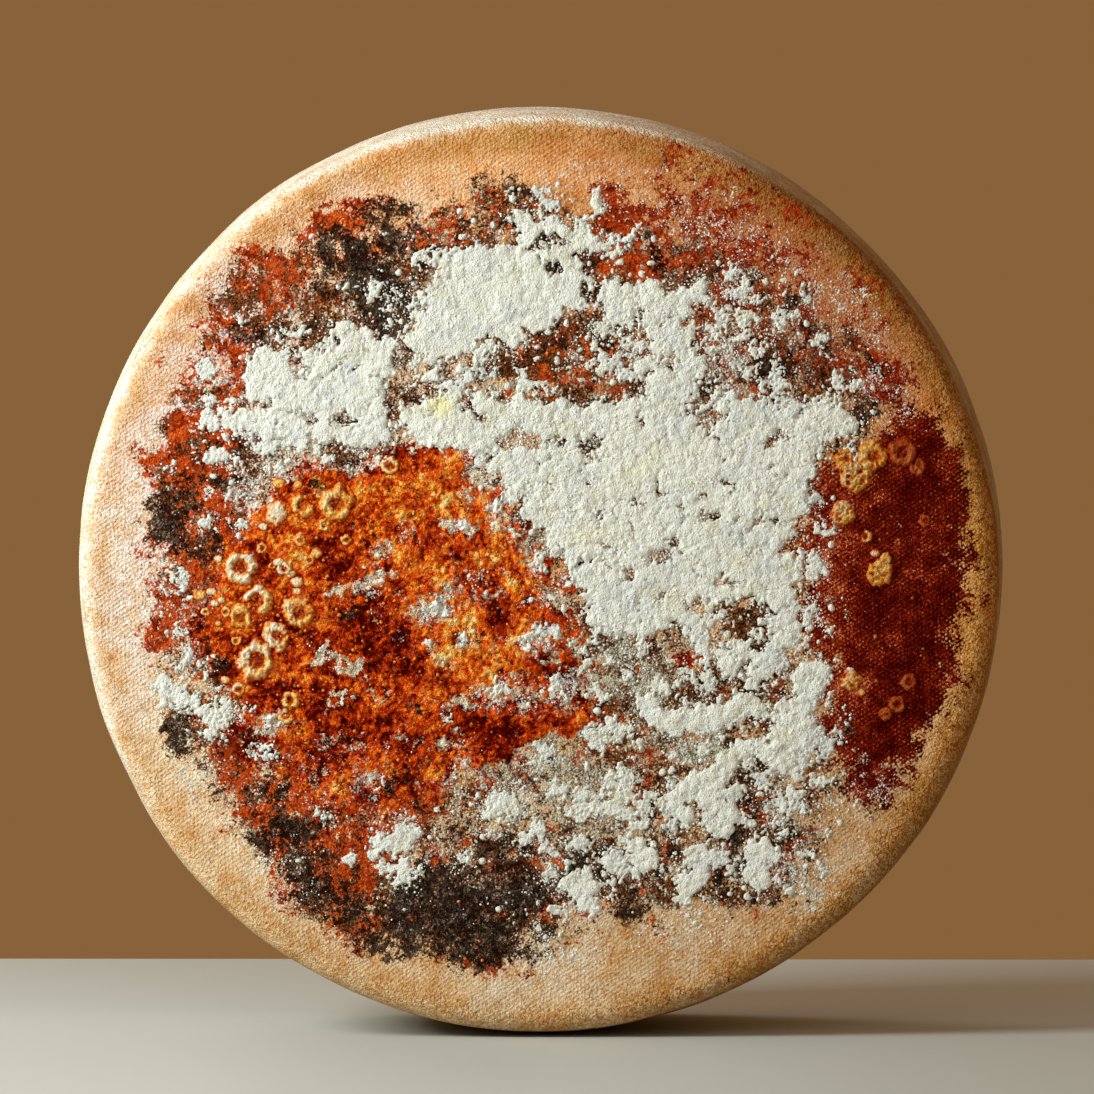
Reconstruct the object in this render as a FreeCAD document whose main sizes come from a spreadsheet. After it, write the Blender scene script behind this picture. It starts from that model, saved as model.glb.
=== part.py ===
# A whole natural-rind cheese wheel standing on its round side.
#
# Frame: +Z up, millimetres. The origin is the middle of the small flat spot
# that the wheel stands on. The wheel's own axis runs along Y, with the mouldy
# face towards -Y. The wheel is one piece, so it is one solid in one body.
#
# The form: two faces with a very slight crown, a heel (the round side) that
# bellies out between them, a tighter rounding at the front edge than at the
# back one, and the flat spot worn where the wheel bears on the ground.

import FreeCAD, Part
import math
import os
import Sketcher

V = FreeCAD.Vector

os.makedirs("parts", exist_ok=True)
doc = FreeCAD.newDocument("cheese_wheel")

# ---------------------------------------------------------------- sizes (mm)
sheet = doc.addObject("Spreadsheet::Sheet", "Sizes")
SIZES = [
    ("wheel_diameter", 260.0, "largest diameter, half way across the heel"),
    ("wheel_thickness", 105.0, "crown of one face to crown of the other"),
    ("heel_bulge", 3.0, "how far the heel bellies out past its edges"),
    ("front_crown", 1.0, "rise of the front face from edge to middle"),
    ("back_crown", 0.5, "rise of the back face from edge to middle"),
    ("front_edge_round", 5.0, "rounding of the front edge"),
    ("back_edge_round", 6.5, "rounding of the back edge"),
    ("flat_depth", 0.8, "how deep the resting flat is worn into the heel"),
    ("flat_cut_width", 90.0, "width of the cut that leaves the flat"),
    ("flat_cut_drop", 20.0, "how far that cut reaches below the flat"),
]
for row, (alias, value, note) in enumerate(SIZES, start=1):
    sheet.set("A%d" % row, alias)
    sheet.set("B%d" % row, "%g" % value)
    sheet.set("C%d" % row, note)
    sheet.setAlias("B%d" % row, alias)
doc.recompute()


def size(alias):
    return float(sheet.get(alias))


def origin_item(body, role):
    for item in body.Origin.OriginFeatures:
        if item.Role == role:
            return item
    raise RuntimeError("no origin item " + role)


def new_sketch(body, name, role):
    sketch = body.newObject("Sketcher::SketchObject", name)
    sketch.AttachmentSupport = [(origin_item(body, role), "")]
    sketch.MapMode = "FlatFace"
    return sketch


def bind(sketch, index, name, expression):
    """Names a dimension and ties it to the sheet."""
    sketch.renameConstraint(index, name)
    sketch.setExpression("Constraints." + name, expression)


# -------------------------------------------------------------------- wheel
wheel = doc.addObject("PartDesign::Body", "Wheel")
wheel.Label = "wheel"

# Half section through the axis. Sketch x runs along the wheel's axis from
# front to back, sketch y is the distance from that axis.
profile = new_sketch(wheel, "HalfSection", "YZ_Plane")

half = size("wheel_thickness") / 2
radius = size("wheel_diameter") / 2
edge_r = radius - size("heel_bulge")
y_front = -(half - size("front_crown"))
y_back = half - size("back_crown")


def crown_centre(crown, tip):
    """Centre of a face's crown arc, which lies on the wheel's axis."""
    r = (edge_r ** 2 + crown ** 2) / (2 * crown)
    return (tip + r, r) if tip < 0 else (tip - r, r)


cf, rf = crown_centre(size("front_crown"), -half)
cb, rb = crown_centre(size("back_crown"), half)
chord = (y_back - y_front) / 2
rh = (chord ** 2 + size("heel_bulge") ** 2) / (2 * size("heel_bulge"))
ch = (y_front + y_back) / 2


def arc(cx, cy, r, a0, a1):
    circle = Part.Circle(V(cx, cy, 0), V(0, 0, 1), r)
    return Part.ArcOfCircle(circle, a0, a1)


# front face: from its edge down to its middle, turning anticlockwise
g_front = profile.addGeometry(
    arc(cf, 0, rf, math.atan2(edge_r, y_front - cf), math.pi), False)
# back face: from its middle out to its edge
g_back = profile.addGeometry(
    arc(cb, 0, rb, 0, math.atan2(edge_r, y_back - cb)), False)
# heel: from the back edge over to the front edge
g_heel = profile.addGeometry(
    arc(ch, radius - rh, rh,
        math.atan2(edge_r - radius + rh, y_back - ch),
        math.atan2(edge_r - radius + rh, y_front - ch)), False)
# the axis itself closes the section
g_axis = profile.addGeometry(
    Part.LineSegment(V(-half, 0, 0), V(half, 0, 0)), False)

C = Sketcher.Constraint
START, END, MID = 1, 2, 3
profile.addConstraint(C("Coincident", g_front, END, g_axis, START))
profile.addConstraint(C("Coincident", g_axis, END, g_back, START))
profile.addConstraint(C("Coincident", g_back, END, g_heel, START))
profile.addConstraint(C("Coincident", g_heel, END, g_front, START))
profile.addConstraint(C("PointOnObject", g_front, END, -1))
profile.addConstraint(C("PointOnObject", g_back, START, -1))
profile.addConstraint(C("PointOnObject", g_front, MID, -1))
profile.addConstraint(C("PointOnObject", g_back, MID, -1))
bind(profile, profile.addConstraint(
    C("DistanceX", g_front, END, -1, 1, half)),
    "front_middle", "Sizes.wheel_thickness / 2")
bind(profile, profile.addConstraint(
    C("DistanceX", -1, 1, g_back, START, half)),
    "back_middle", "Sizes.wheel_thickness / 2")
bind(profile, profile.addConstraint(
    C("DistanceX", g_front, START, -1, 1, -y_front)),
    "front_edge", "Sizes.wheel_thickness / 2 - Sizes.front_crown")
bind(profile, profile.addConstraint(
    C("DistanceX", -1, 1, g_back, END, y_back)),
    "back_edge", "Sizes.wheel_thickness / 2 - Sizes.back_crown")
bind(profile, profile.addConstraint(
    C("DistanceY", -1, 1, g_front, START, edge_r)),
    "front_edge_radius", "Sizes.wheel_diameter / 2 - Sizes.heel_bulge")
bind(profile, profile.addConstraint(
    C("DistanceY", -1, 1, g_back, END, edge_r)),
    "back_edge_radius", "Sizes.wheel_diameter / 2 - Sizes.heel_bulge")
HALF_CHORD = ("((Sizes.wheel_thickness - Sizes.front_crown"
              " - Sizes.back_crown) / 2)")
bind(profile, profile.addConstraint(C("Radius", g_heel, rh)),
     "heel_radius",
     "(" + HALF_CHORD + " * " + HALF_CHORD
     + " + Sizes.heel_bulge * Sizes.heel_bulge) / (2 * Sizes.heel_bulge)")
doc.recompute()

turned = wheel.newObject("PartDesign::Revolution", "TurnedWheel")
turned.Profile = profile
turned.ReferenceAxis = (profile, ["H_Axis"])
turned.Angle = 360
profile.Visibility = False
doc.recompute()


def ring_edge(shape, axial, ring_radius):
    """Name of the full circle at a place along the axis."""
    for number, edge in enumerate(shape.Edges, start=1):
        # the point where a face meets the axis is an edge with no curve
        if edge.Degenerated or not isinstance(edge.Curve, Part.Circle):
            continue
        if (abs(edge.Curve.Radius - ring_radius) < 0.05
                and abs(edge.Curve.Center.y - axial) < 0.05):
            return "Edge%d" % number
    raise RuntimeError("no ring edge at %.2f" % axial)


# rounding of the front edge, then of the back edge
front_round = wheel.newObject("PartDesign::Fillet", "FrontEdgeRound")
front_round.Base = (turned, [ring_edge(turned.Shape, y_front, edge_r)])
front_round.Radius = size("front_edge_round")
front_round.setExpression("Radius", "Sizes.front_edge_round")
doc.recompute()

back_round = wheel.newObject("PartDesign::Fillet", "BackEdgeRound")
back_round.Base = (front_round,
                   [ring_edge(front_round.Shape, y_back, edge_r)])
back_round.Radius = size("back_edge_round")
back_round.setExpression("Radius", "Sizes.back_edge_round")
doc.recompute()
before_flat = back_round.Shape.Volume

# The resting flat: everything lower than the flat is cut away, right across
# the heel. Sketch x is X and sketch y is Z, measured from the wheel's axis.
worn = new_sketch(wheel, "FlatSection", "XZ_Plane")
top = -(radius - size("flat_depth"))
wide = size("flat_cut_width") / 2
low = top - size("flat_cut_drop")
corners = [V(-wide, low, 0), V(wide, low, 0), V(wide, top, 0), V(-wide, top, 0)]
lines = [worn.addGeometry(Part.LineSegment(corners[i], corners[(i + 1) % 4]),
                          False) for i in range(4)]
for i in range(4):
    worn.addConstraint(C("Coincident", lines[i], END, lines[(i + 1) % 4], START))
for i, kind in ((1, "Vertical"), (2, "Horizontal"), (3, "Vertical")):
    worn.addConstraint(C(kind, lines[i]))
worn.addConstraint(C("Symmetric", lines[0], START, lines[0], END, -2))
bind(worn, worn.addConstraint(C("DistanceX", lines[0], START, lines[0], END,
                                2 * wide)), "cut_width", "Sizes.flat_cut_width")
bind(worn, worn.addConstraint(C("DistanceY", lines[1], START, lines[1], END,
                                top - low)), "cut_drop", "Sizes.flat_cut_drop")
bind(worn, worn.addConstraint(C("DistanceY", lines[2], START, -1, 1, -top)),
     "flat_height", "Sizes.wheel_diameter / 2 - Sizes.flat_depth")
doc.recompute()

flat = wheel.newObject("PartDesign::Pocket", "RestingFlat")
flat.Profile = worn
if hasattr(flat, "SideType"):
    flat.SideType = "Symmetric"
else:
    flat.Midplane = True
flat.Type = "Length"
flat.Length = 2 * size("wheel_thickness")
flat.setExpression("Length", "2 * Sizes.wheel_thickness")
worn.Visibility = False
wheel.Tip = flat
doc.recompute()

# The body is drawn about the wheel's axis and stands on its flat.
wheel.Placement = FreeCAD.Placement(V(0, 0, radius - size("flat_depth")),
                                    FreeCAD.Rotation())
wheel.setExpression(".Placement.Base.z",
                    "Sizes.wheel_diameter / 2 - Sizes.flat_depth")
doc.recompute()

# ------------------------------------------------------------------- checks
for item in doc.Objects:
    if "Invalid" in item.State or "Error" in item.State:
        raise RuntimeError("failed: %s %s" % (item.Label, item.State))
for sketch in (profile, worn):
    if sketch.solve() != 0:
        raise RuntimeError("sketch does not solve: " + sketch.Name)
cut = before_flat - flat.Shape.Volume
if not 1.0 < cut < 20000.0:
    raise RuntimeError("the resting flat cut %.1f mm3" % cut)

PARTS = [wheel]
for body in PARTS:
    shape = body.Shape
    if shape.isNull() or not shape.isValid() or len(shape.Solids) != 1:
        raise RuntimeError("bad solid: " + body.Label)
for body in PARTS:
    body.Shape.exportStep("parts/%s.step" % body.Label)
    box = body.Shape.optimalBoundingBox()
    print("%s: X %.2f..%.2f  Y %.2f..%.2f  Z %.2f..%.2f  volume %.0f mm3"
          % (body.Label, box.XMin, box.XMax, box.YMin, box.YMax,
             box.ZMin, box.ZMax, body.Shape.Volume))
print("flat cut %.1f mm3" % cut)
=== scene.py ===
# The looks of a natural-rind cheese wheel that stands on its round side, with
# one face grown over by white, orange, red and black rind mould.
#
# All of it is worked out here from sizes, listed patches and seeded noise:
# the mould is real relief (colonies as rounded caps on the rind), and the fine
# grain, the cloth print and the powder are procedural.
import bpy
import math
import numpy as np
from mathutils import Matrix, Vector


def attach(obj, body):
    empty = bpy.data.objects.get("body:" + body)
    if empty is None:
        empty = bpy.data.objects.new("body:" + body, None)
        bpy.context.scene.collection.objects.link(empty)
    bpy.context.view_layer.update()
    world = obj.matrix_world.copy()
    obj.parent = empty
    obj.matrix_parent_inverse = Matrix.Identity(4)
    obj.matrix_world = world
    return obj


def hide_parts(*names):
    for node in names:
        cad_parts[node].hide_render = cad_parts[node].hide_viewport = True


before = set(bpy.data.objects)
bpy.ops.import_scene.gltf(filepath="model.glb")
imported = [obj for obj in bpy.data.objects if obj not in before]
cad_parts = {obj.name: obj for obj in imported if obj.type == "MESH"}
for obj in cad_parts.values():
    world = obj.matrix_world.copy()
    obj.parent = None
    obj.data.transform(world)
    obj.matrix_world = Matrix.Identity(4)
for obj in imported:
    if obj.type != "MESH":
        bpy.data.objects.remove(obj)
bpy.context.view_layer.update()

# ------------------------------------------------------------- named sizes (mm)
WHEEL_R = 130.0          # largest radius, half way across the heel
HALF_T = 52.5            # half the thickness
HEEL_BULGE = 3.0
FRONT_CROWN, BACK_CROWN = 1.0, 0.5
FRONT_ROUND, BACK_ROUND = 5.0, 6.5
FLAT_DEPTH = 0.8
AXIS_Z = WHEEL_R - FLAT_DEPTH
EDGE_R = WHEEL_R - HEEL_BULGE
MM = 0.001
PITCH = 1.08             # cloth print: one thread
WEAVE_DEG = 34.0         # its threads rise to the right by this much

SEED = 20817

# ------------------------------------------------------------------ the layout
# Patches are laid out on the face in layout units, 3.6 to the millimetre, with
# x to the right and y down. LX, LY is the middle of the face.
LX, LY, UNIT = 538.2, 574.3, 3.6


def to_layout(u, v):
    """Face millimetres from the wheel's axis (u right, v up) to layout units."""
    return LX + u * UNIT, LY - v * UNIT


def from_layout(x, y):
    return (x - LX) / UNIT, (LY - y) / UNIT


# ----------------------------------------------------------------- value noise
_TABLE = np.random.RandomState(SEED).rand(64, 64).astype(np.float64)


def vnoise(x, y, size, seed=0):
    """Smooth noise in -1..1 with features about size wide."""
    x = np.asarray(x, float) / size + 17.13 * seed + 5.7
    y = np.asarray(y, float) / size - 9.37 * seed + 3.1
    xi, yi = np.floor(x).astype(int), np.floor(y).astype(int)
    fx, fy = x - xi, y - yi
    fx = fx * fx * fx * (fx * (fx * 6 - 15) + 10)
    fy = fy * fy * fy * (fy * (fy * 6 - 15) + 10)
    o = (seed * 7919) % 64

    def at(i, j):
        return _TABLE[(i + o + (j // 64) * 13) % 64, (j + 3 * o + (i // 64) * 29) % 64]

    a = at(xi, yi) * (1 - fx) + at(xi + 1, yi) * fx
    b = at(xi, yi + 1) * (1 - fx) + at(xi + 1, yi + 1) * fx
    return (a * (1 - fy) + b * fy) * 2 - 1


def fbm(x, y, size, octaves=4, seed=0, gain=0.55):
    total, amp, norm = 0.0, 1.0, 0.0
    for k in range(octaves):
        total = total + amp * vnoise(x, y, size / 2 ** k, seed + 11 * k)
        norm += amp
        amp *= gain
    return total / norm * 1.6


def step(lo, hi, v):
    t = np.clip((v - lo) / (hi - lo), 0, 1)
    return t * t * (3 - 2 * t)


# --------------------------------------------------------------- patch shapes
def poly_in(x, y, pts):
    """Signed distance to a closed outline, positive inside."""
    pts = np.asarray(pts, float)
    d = np.full(np.shape(x), 1e9)
    inside = np.zeros(np.shape(x), bool)
    for k in range(len(pts)):
        x0, y0 = pts[k]
        x1, y1 = pts[(k + 1) % len(pts)]
        ex, ey = x1 - x0, y1 - y0
        wx, wy = x - x0, y - y0
        t = np.clip((wx * ex + wy * ey) / (ex * ex + ey * ey), 0, 1)
        d = np.minimum(d, (wx - ex * t) ** 2 + (wy - ey * t) ** 2)
        c = (y0 <= y) != (y1 <= y)
        with np.errstate(divide="ignore", invalid="ignore"):
            xc = x0 + (y - y0) * ex / (ey if ey != 0 else 1e-9)
        inside ^= c & (x < xc)
    d = np.sqrt(d)
    return np.where(inside, d, -d)


def blob_in(x, y, spec):
    """Signed distance, roughly, to an ellipse (x, y, rx, ry, tilt)."""
    cx, cy, rx, ry, tilt = spec
    c, s = math.cos(math.radians(tilt)), math.sin(math.radians(tilt))
    dx, dy = x - cx, -(y - cy)
    a, b = (dx * c + dy * s) / rx, (-dx * s + dy * c) / ry
    q = np.sqrt(a * a + b * b)
    return (1 - q) * min(rx, ry)


def cover(x, y, polys=(), blobs=(), soft=8.0):
    """0..1 cover of a set of patches: 1 well inside, 0.5 on the outline."""
    out = np.zeros(np.shape(x))
    for pts, full in polys:
        p = np.asarray(pts, float)
        m = ((x > p[:, 0].min() - 3 * soft) & (x < p[:, 0].max() + 3 * soft)
             & (y > p[:, 1].min() - 3 * soft) & (y < p[:, 1].max() + 3 * soft))
        if m.any():
            out[m] = np.maximum(out[m], full * step(-soft, soft, poly_in(x[m], y[m], pts)))
    for b in blobs:
        cx, cy, rx, ry, tilt, full = b
        r = max(rx, ry) + 2 * soft
        m = (abs(x - cx) < r) & (abs(y - cy) < r)
        if m.any():
            w = min(soft, 1.2 * min(rx, ry))
            out[m] = np.maximum(out[m], full * step(-w, w, blob_in(x[m], y[m], b[:5])))
    return out


def warp(x, y, big, small, seed):
    """Moves points by noise, so that laid-out outlines come out natural."""
    return (x + big * fbm(x, y, 26, 3, seed) + small * fbm(x, y, 7, 2, seed + 5),
            y + big * fbm(x, y, 26, 3, seed + 1) + small * fbm(x, y, 7, 2, seed + 6))


# White mats: outlines and how full each is.
WHITE_MATS = [
    # left mat
    ([(246, 362), (256, 352), (280, 350), (305, 356), (325, 350), (334, 338),
      (336, 322), (345, 317), (362, 323), (372, 336), (388, 344), (402, 344),
      (410, 356), (398, 368), (388, 374), (386, 388), (384, 402), (392, 414),
      (393, 432), (386, 444), (366, 448), (345, 446), (322, 444), (300, 446),
      (276, 446), (254, 440), (236, 436), (229, 424), (240, 416), (258, 408),
      (249, 398), (245, 382)], 0.97),
    # smooth mat with its top lobe
    ([(400, 346), (416, 330), (424, 312), (430, 296), (440, 272), (452, 252),
      (478, 243), (506, 238), (518, 228), (508, 216), (514, 207), (528, 206),
      (540, 214), (553, 212), (560, 220), (570, 230), (590, 230), (603, 240),
      (604, 250), (590, 256), (578, 258), (588, 272), (600, 286), (606, 304),
      (590, 310), (570, 308), (565, 322), (550, 332), (533, 334), (520, 327),
      (525, 340), (514, 354), (500, 350), (484, 338), (474, 350), (452, 360),
      (434, 364), (416, 361)], 1.0),
    # middle upper mats
    ([(598, 300), (602, 284), (614, 274), (622, 284), (634, 284), (650, 282),
      (672, 289), (690, 284), (697, 276), (708, 276), (713, 290), (700, 300),
      (688, 312), (686, 328), (694, 344), (701, 352), (702, 372), (697, 388),
      (703, 402), (670, 404), (648, 398), (640, 384), (645, 366), (650, 352),
      (640, 340), (630, 332), (616, 336), (606, 322)], 0.97),
    # great central mat
    ([(398, 410), (412, 400), (432, 392), (455, 386), (470, 392), (486, 392),
      (505, 397), (530, 394), (552, 400), (580, 403), (605, 398), (630, 402),
      (655, 394), (684, 402), (698, 412), (716, 406), (742, 402), (766, 404),
      (792, 398), (812, 401), (834, 404), (852, 408), (858, 424), (850, 438),
      (834, 444), (820, 458), (812, 474), (803, 490), (806, 508), (800, 528),
      (786, 548), (796, 560), (800, 574), (792, 586), (800, 600), (802, 620),
      (800, 642), (786, 646), (772, 640), (774, 620), (762, 608), (744, 602),
      (726, 604), (722, 624), (706, 634), (696, 640), (684, 636), (678, 622),
      (664, 634), (642, 640), (618, 636), (602, 634), (586, 622), (580, 608),
      (590, 596), (578, 586), (570, 566), (560, 548), (548, 530), (534, 516),
      (516, 504), (502, 492), (492, 474), (478, 460), (458, 452), (436, 448),
      (416, 440), (402, 428)], 0.97),
    # long bar and its lobe
    ([(640, 700), (648, 694), (660, 700), (668, 708), (688, 705), (702, 698),
      (722, 702), (744, 694), (764, 699), (772, 712), (760, 721), (738, 724),
      (716, 730), (694, 733), (672, 737), (658, 730), (652, 718)], 1.0),
    # right-hand column, down to the diagonal
    ([(802, 664), (814, 660), (825, 670), (827, 690), (819, 704), (812, 716),
      (816, 734), (806, 752), (802, 768), (792, 782), (776, 776), (764, 766),
      (748, 760), (736, 772), (728, 784), (738, 794), (740, 812), (730, 832),
      (712, 840), (700, 832), (697, 812), (688, 792), (682, 778), (694, 769),
      (708, 764), (722, 752), (742, 746), (762, 736), (776, 718), (786, 700),
      (790, 682)], 0.98),
    ([(664, 784), (678, 781), (688, 792), (693, 808), (690, 826), (680, 832),
      (668, 818), (662, 800)], 0.92),
    # lowest lobes
    ([(676, 868), (688, 852), (706, 844), (728, 847), (726, 864), (713, 872),
      (711, 890), (700, 904), (685, 907), (676, 896), (684, 880)], 1.0),
    ([(742, 842), (764, 838), (775, 850), (766, 866), (768, 886), (755, 896),
      (744, 886), (734, 875), (741, 861)], 0.95),
    ([(600, 852), (628, 845), (655, 848), (664, 864), (655, 876), (638, 877),
      (624, 868), (608, 874), (598, 866)], 0.95),
    ([(556, 882), (574, 874), (590, 868), (602, 880), (606, 896), (596, 912),
      (588, 918), (576, 908), (564, 897)], 0.97),
    ([(700, 640), (722, 634), (728, 648), (750, 650), (762, 632), (780, 640),
      (788, 656), (782, 670), (768, 672), (770, 690), (752, 694), (736, 690),
      (728, 678), (716, 690), (706, 690), (700, 678), (716, 664), (708, 652)],
     0.86),
]
# White flocks: x, y, rx, ry, tilt, how full.
WHITE_FLOCKS = [
    (598, 332, 15, 13, 20, 1.0), (612, 368, 8, 10, 0, .95), (632, 351, 15, 12, 0, 1.0),
    (576, 355, 9, 8, 30, .95), (566, 364, 6, 5, 0, .9), (590, 366, 8, 6, 0, .9),
    (486, 358, 13, 12, 0, .92), (484, 372, 9, 8, 0, .9), (470, 376, 8, 8, 0, .9),
    (618, 250, 8, 9, 0, 1.0), (602, 250, 10, 8, 0, .95), (586, 244, 12, 9, 0, .95),
    (600, 205, 7, 6, 0, .8), (546, 198, 12, 9, 0, .8), (553, 186, 7, 5, 0, .6),
    (440, 382, 30, 9, 6, .85), (425, 404, 18, 9, 0, .85), (441, 405, 11, 11, 0, 1.0),
    (731, 272, 9, 8, 0, .92), (746, 277, 5, 4, 0, .85), (697, 288, 12, 10, 0, .95),
    (733, 292, 16, 7, -10, .88), (757, 300, 12, 7, 0, .85), (722, 313, 15, 11, 0, .78),
    (738, 342, 15, 8, 8, .95), (712, 332, 9, 9, 0, .75), (797, 315, 9, 7, 0, .8),
    (825, 343, 10, 7, 20, .88), (788, 286, 13, 7, 0, .6), (762, 327, 7, 6, 0, .7),
    (835, 404, 13, 10, 0, .9), (856, 378, 8, 7, 0, .85), (872, 378, 9, 7, 0, .8),
    (850, 366, 6, 5, 0, .7), (720, 360, 24, 15, 0, .7), (815, 500, 11, 11, 0, .84),
    (820, 532, 11, 10, 0, .95), (815, 568, 15, 12, -15, .93), (812, 612, 13, 13, 0, .95),
    (843, 608, 5, 6, 0, .6), (848, 716, 8, 8, 0, .6), (822, 740, 15, 12, -30, .7),
    (631, 731, 13, 7, -4, 1.0), (606, 735, 19, 13, 8, 1.0), (650, 700, 14, 10, -30, 1.0),
    (672, 757, 11, 7, -10, .9), (606, 697, 8, 8, 30, .8), (628, 777, 15, 8, -12, .9),
    (560, 790, 16, 9, 0, .82), (505, 804, 23, 17, 12, 1.0), (585, 811, 16, 8, 6, .93),
    (581, 842, 14, 8, 6, .97), (543, 836, 10, 11, 0, .85), (620, 808, 18, 22, 0, .74),
    (640, 845, 16, 10, 0, .85), (482, 832, 10, 8, 0, .8), (770, 800, 24, 22, 0, .78),
    (782, 826, 12, 13, 0, .72), (822, 782, 13, 9, 0, .7), (830, 806, 20, 9, -20, .6),
    (548, 876, 9, 9, 0, .8), (570, 926, 8, 6, 0, .7), (545, 947, 12, 8, 20, .8),
    (552, 955, 5, 5, 0, .7), (560, 914, 8, 7, 0, .72), (572, 951, 6, 4, 0, .7),
    (660, 936, 14, 7, -20, .35), (800, 880, 24, 16, -40, .45), (806, 872, 8, 6, 0, .6),
    (404, 833, 16, 16, 0, 1.0), (388, 836, 9, 7, 20, .85), (407, 877, 15, 12, 20, 1.0),
    (385, 867, 7, 8, 0, .95), (347, 865, 5, 5, 0, .9), (459, 858, 11, 8, -15, .9),
    (373, 780, 8, 6, -40, .9), (428, 645, 7, 8, 0, .95), (444, 715, 6, 8, 0, .95),
    (495, 697, 12, 12, 45, .92), (476, 696, 18, 9, 20, .55), (345, 668, 8, 6, 40, .75),
    (327, 656, 9, 5, -20, .8), (345, 702, 6, 4, 0, .85), (530, 640, 16, 9, 20, .92),
    (549, 646, 10, 8, 0, .75), (540, 757, 17, 9, 20, .85), (537, 565, 9, 8, 0, .95),
    (548, 597, 22, 8, 12, .78), (552, 640, 26, 13, 12, .6), (560, 690, 15, 22, 30, .7),
    (587, 672, 13, 20, -20, .62), (640, 657, 24, 20, 0, .5), (520, 520, 20, 12, 40, .62),
    (540, 580, 14, 12, 0, .5), (460, 520, 11, 7, 40, .72), (497, 512, 9, 10, 0, .7),
    (485, 487, 10, 12, 30, .72), (475, 462, 14, 9, 30, .75), (436, 609, 15, 9, 10, .78),
    (368, 587, 17, 10, 10, .62), (375, 560, 10, 7, 0, .6), (478, 578, 15, 12, 30, .55),
    (455, 590, 20, 7, 20, .45), (470, 640, 12, 16, -30, .4), (515, 690, 26, 12, 0, .55),
    (520, 707, 8, 7, 0, .75), (573, 625, 20, 8, 0, .5), (410, 530, 8, 6, 0, .6),
    (202, 370, 12, 10, 0, .97), (240, 317, 6, 6, 0, .9), (212, 424, 17, 9, 14, .92),
    (237, 400, 13, 9, 20, .65), (220, 457, 16, 10, -10, .95), (195, 425, 6, 5, 0, .7),
    (175, 470, 9, 8, 0, .5), (238, 490, 15, 14, 0, .55), (242, 528, 8, 7, 0, .9),
    (210, 526, 9, 7, 0, .65), (178, 575, 8, 12, -8, 1.0), (163, 588, 5, 6, 0, .85),
    (262, 470, 15, 11, 0, .55), (290, 462, 20, 12, 0, .58), (318, 462, 18, 10, 0, .5),
    (176, 634, 14, 7, 10, .85), (184, 662, 14, 12, 0, .7), (166, 690, 16, 15, -30, .78),
    (182, 700, 12, 8, 0, .93), (219, 716, 17, 18, 0, .97), (215, 662, 8, 7, 0, .7),
    (247, 712, 9, 10, 0, .55), (270, 722, 9, 6, 0, .85), (287, 729, 5, 3, 0, .8),
    (268, 749, 18, 7, -5, .7), (217, 688, 6, 4, 0, .8), (208, 768, 18, 12, -40, .42),
    (155, 612, 14, 14, 0, .4), (262, 862, 12, 7, -40, .5), (300, 865, 12, 12, 0, .35),
    (322, 815, 14, 9, 0, .42), (350, 762, 15, 12, 0, .45), (330, 790, 12, 10, 0, .35),
    (462, 765, 16, 14, 0, .5), (468, 752, 14, 6, 0, .5), (392, 748, 8, 4, 0, .75),
    (470, 800, 24, 16, 0, .3), (430, 830, 12, 10, 0, .35), (405, 300, 22, 22, 40, .55),
    (372, 287, 22, 12, 10, .5), (425, 262, 16, 8, 50, .6), (300, 335, 30, 8, 10, .6),
    (275, 333, 10, 7, 0, .6), (335, 345, 12, 6, 0, .6), (358, 300, 12, 8, 0, .35),
    (386, 322, 12, 8, 0, .4), (462, 217, 8, 5, 0, .45), (455, 240, 12, 5, 10, .5),
    (403, 237, 5, 4, 0, .6), (380, 232, 4, 3, 0, .5), (312, 232, 8, 4, 20, .35),
    (525, 195, 12, 8, 0, .5), (680, 232, 4, 6, 0, .4), (655, 240, 6, 6, 0, .4),
    (470, 865, 14, 6, 0, .2), (530, 900, 20, 14, 0, .32), (505, 895, 14, 6, 20, .3),
    (480, 898, 4, 3, 0, .8), (390, 925, 4, 5, 0, .4), (690, 700, 8, 6, 0, .8),
    (540, 475, 8, 5, 0, .5), (800, 560, 10, 8, 0, .8), (640, 300, 12, 12, 0, 1.0),
]
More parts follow.
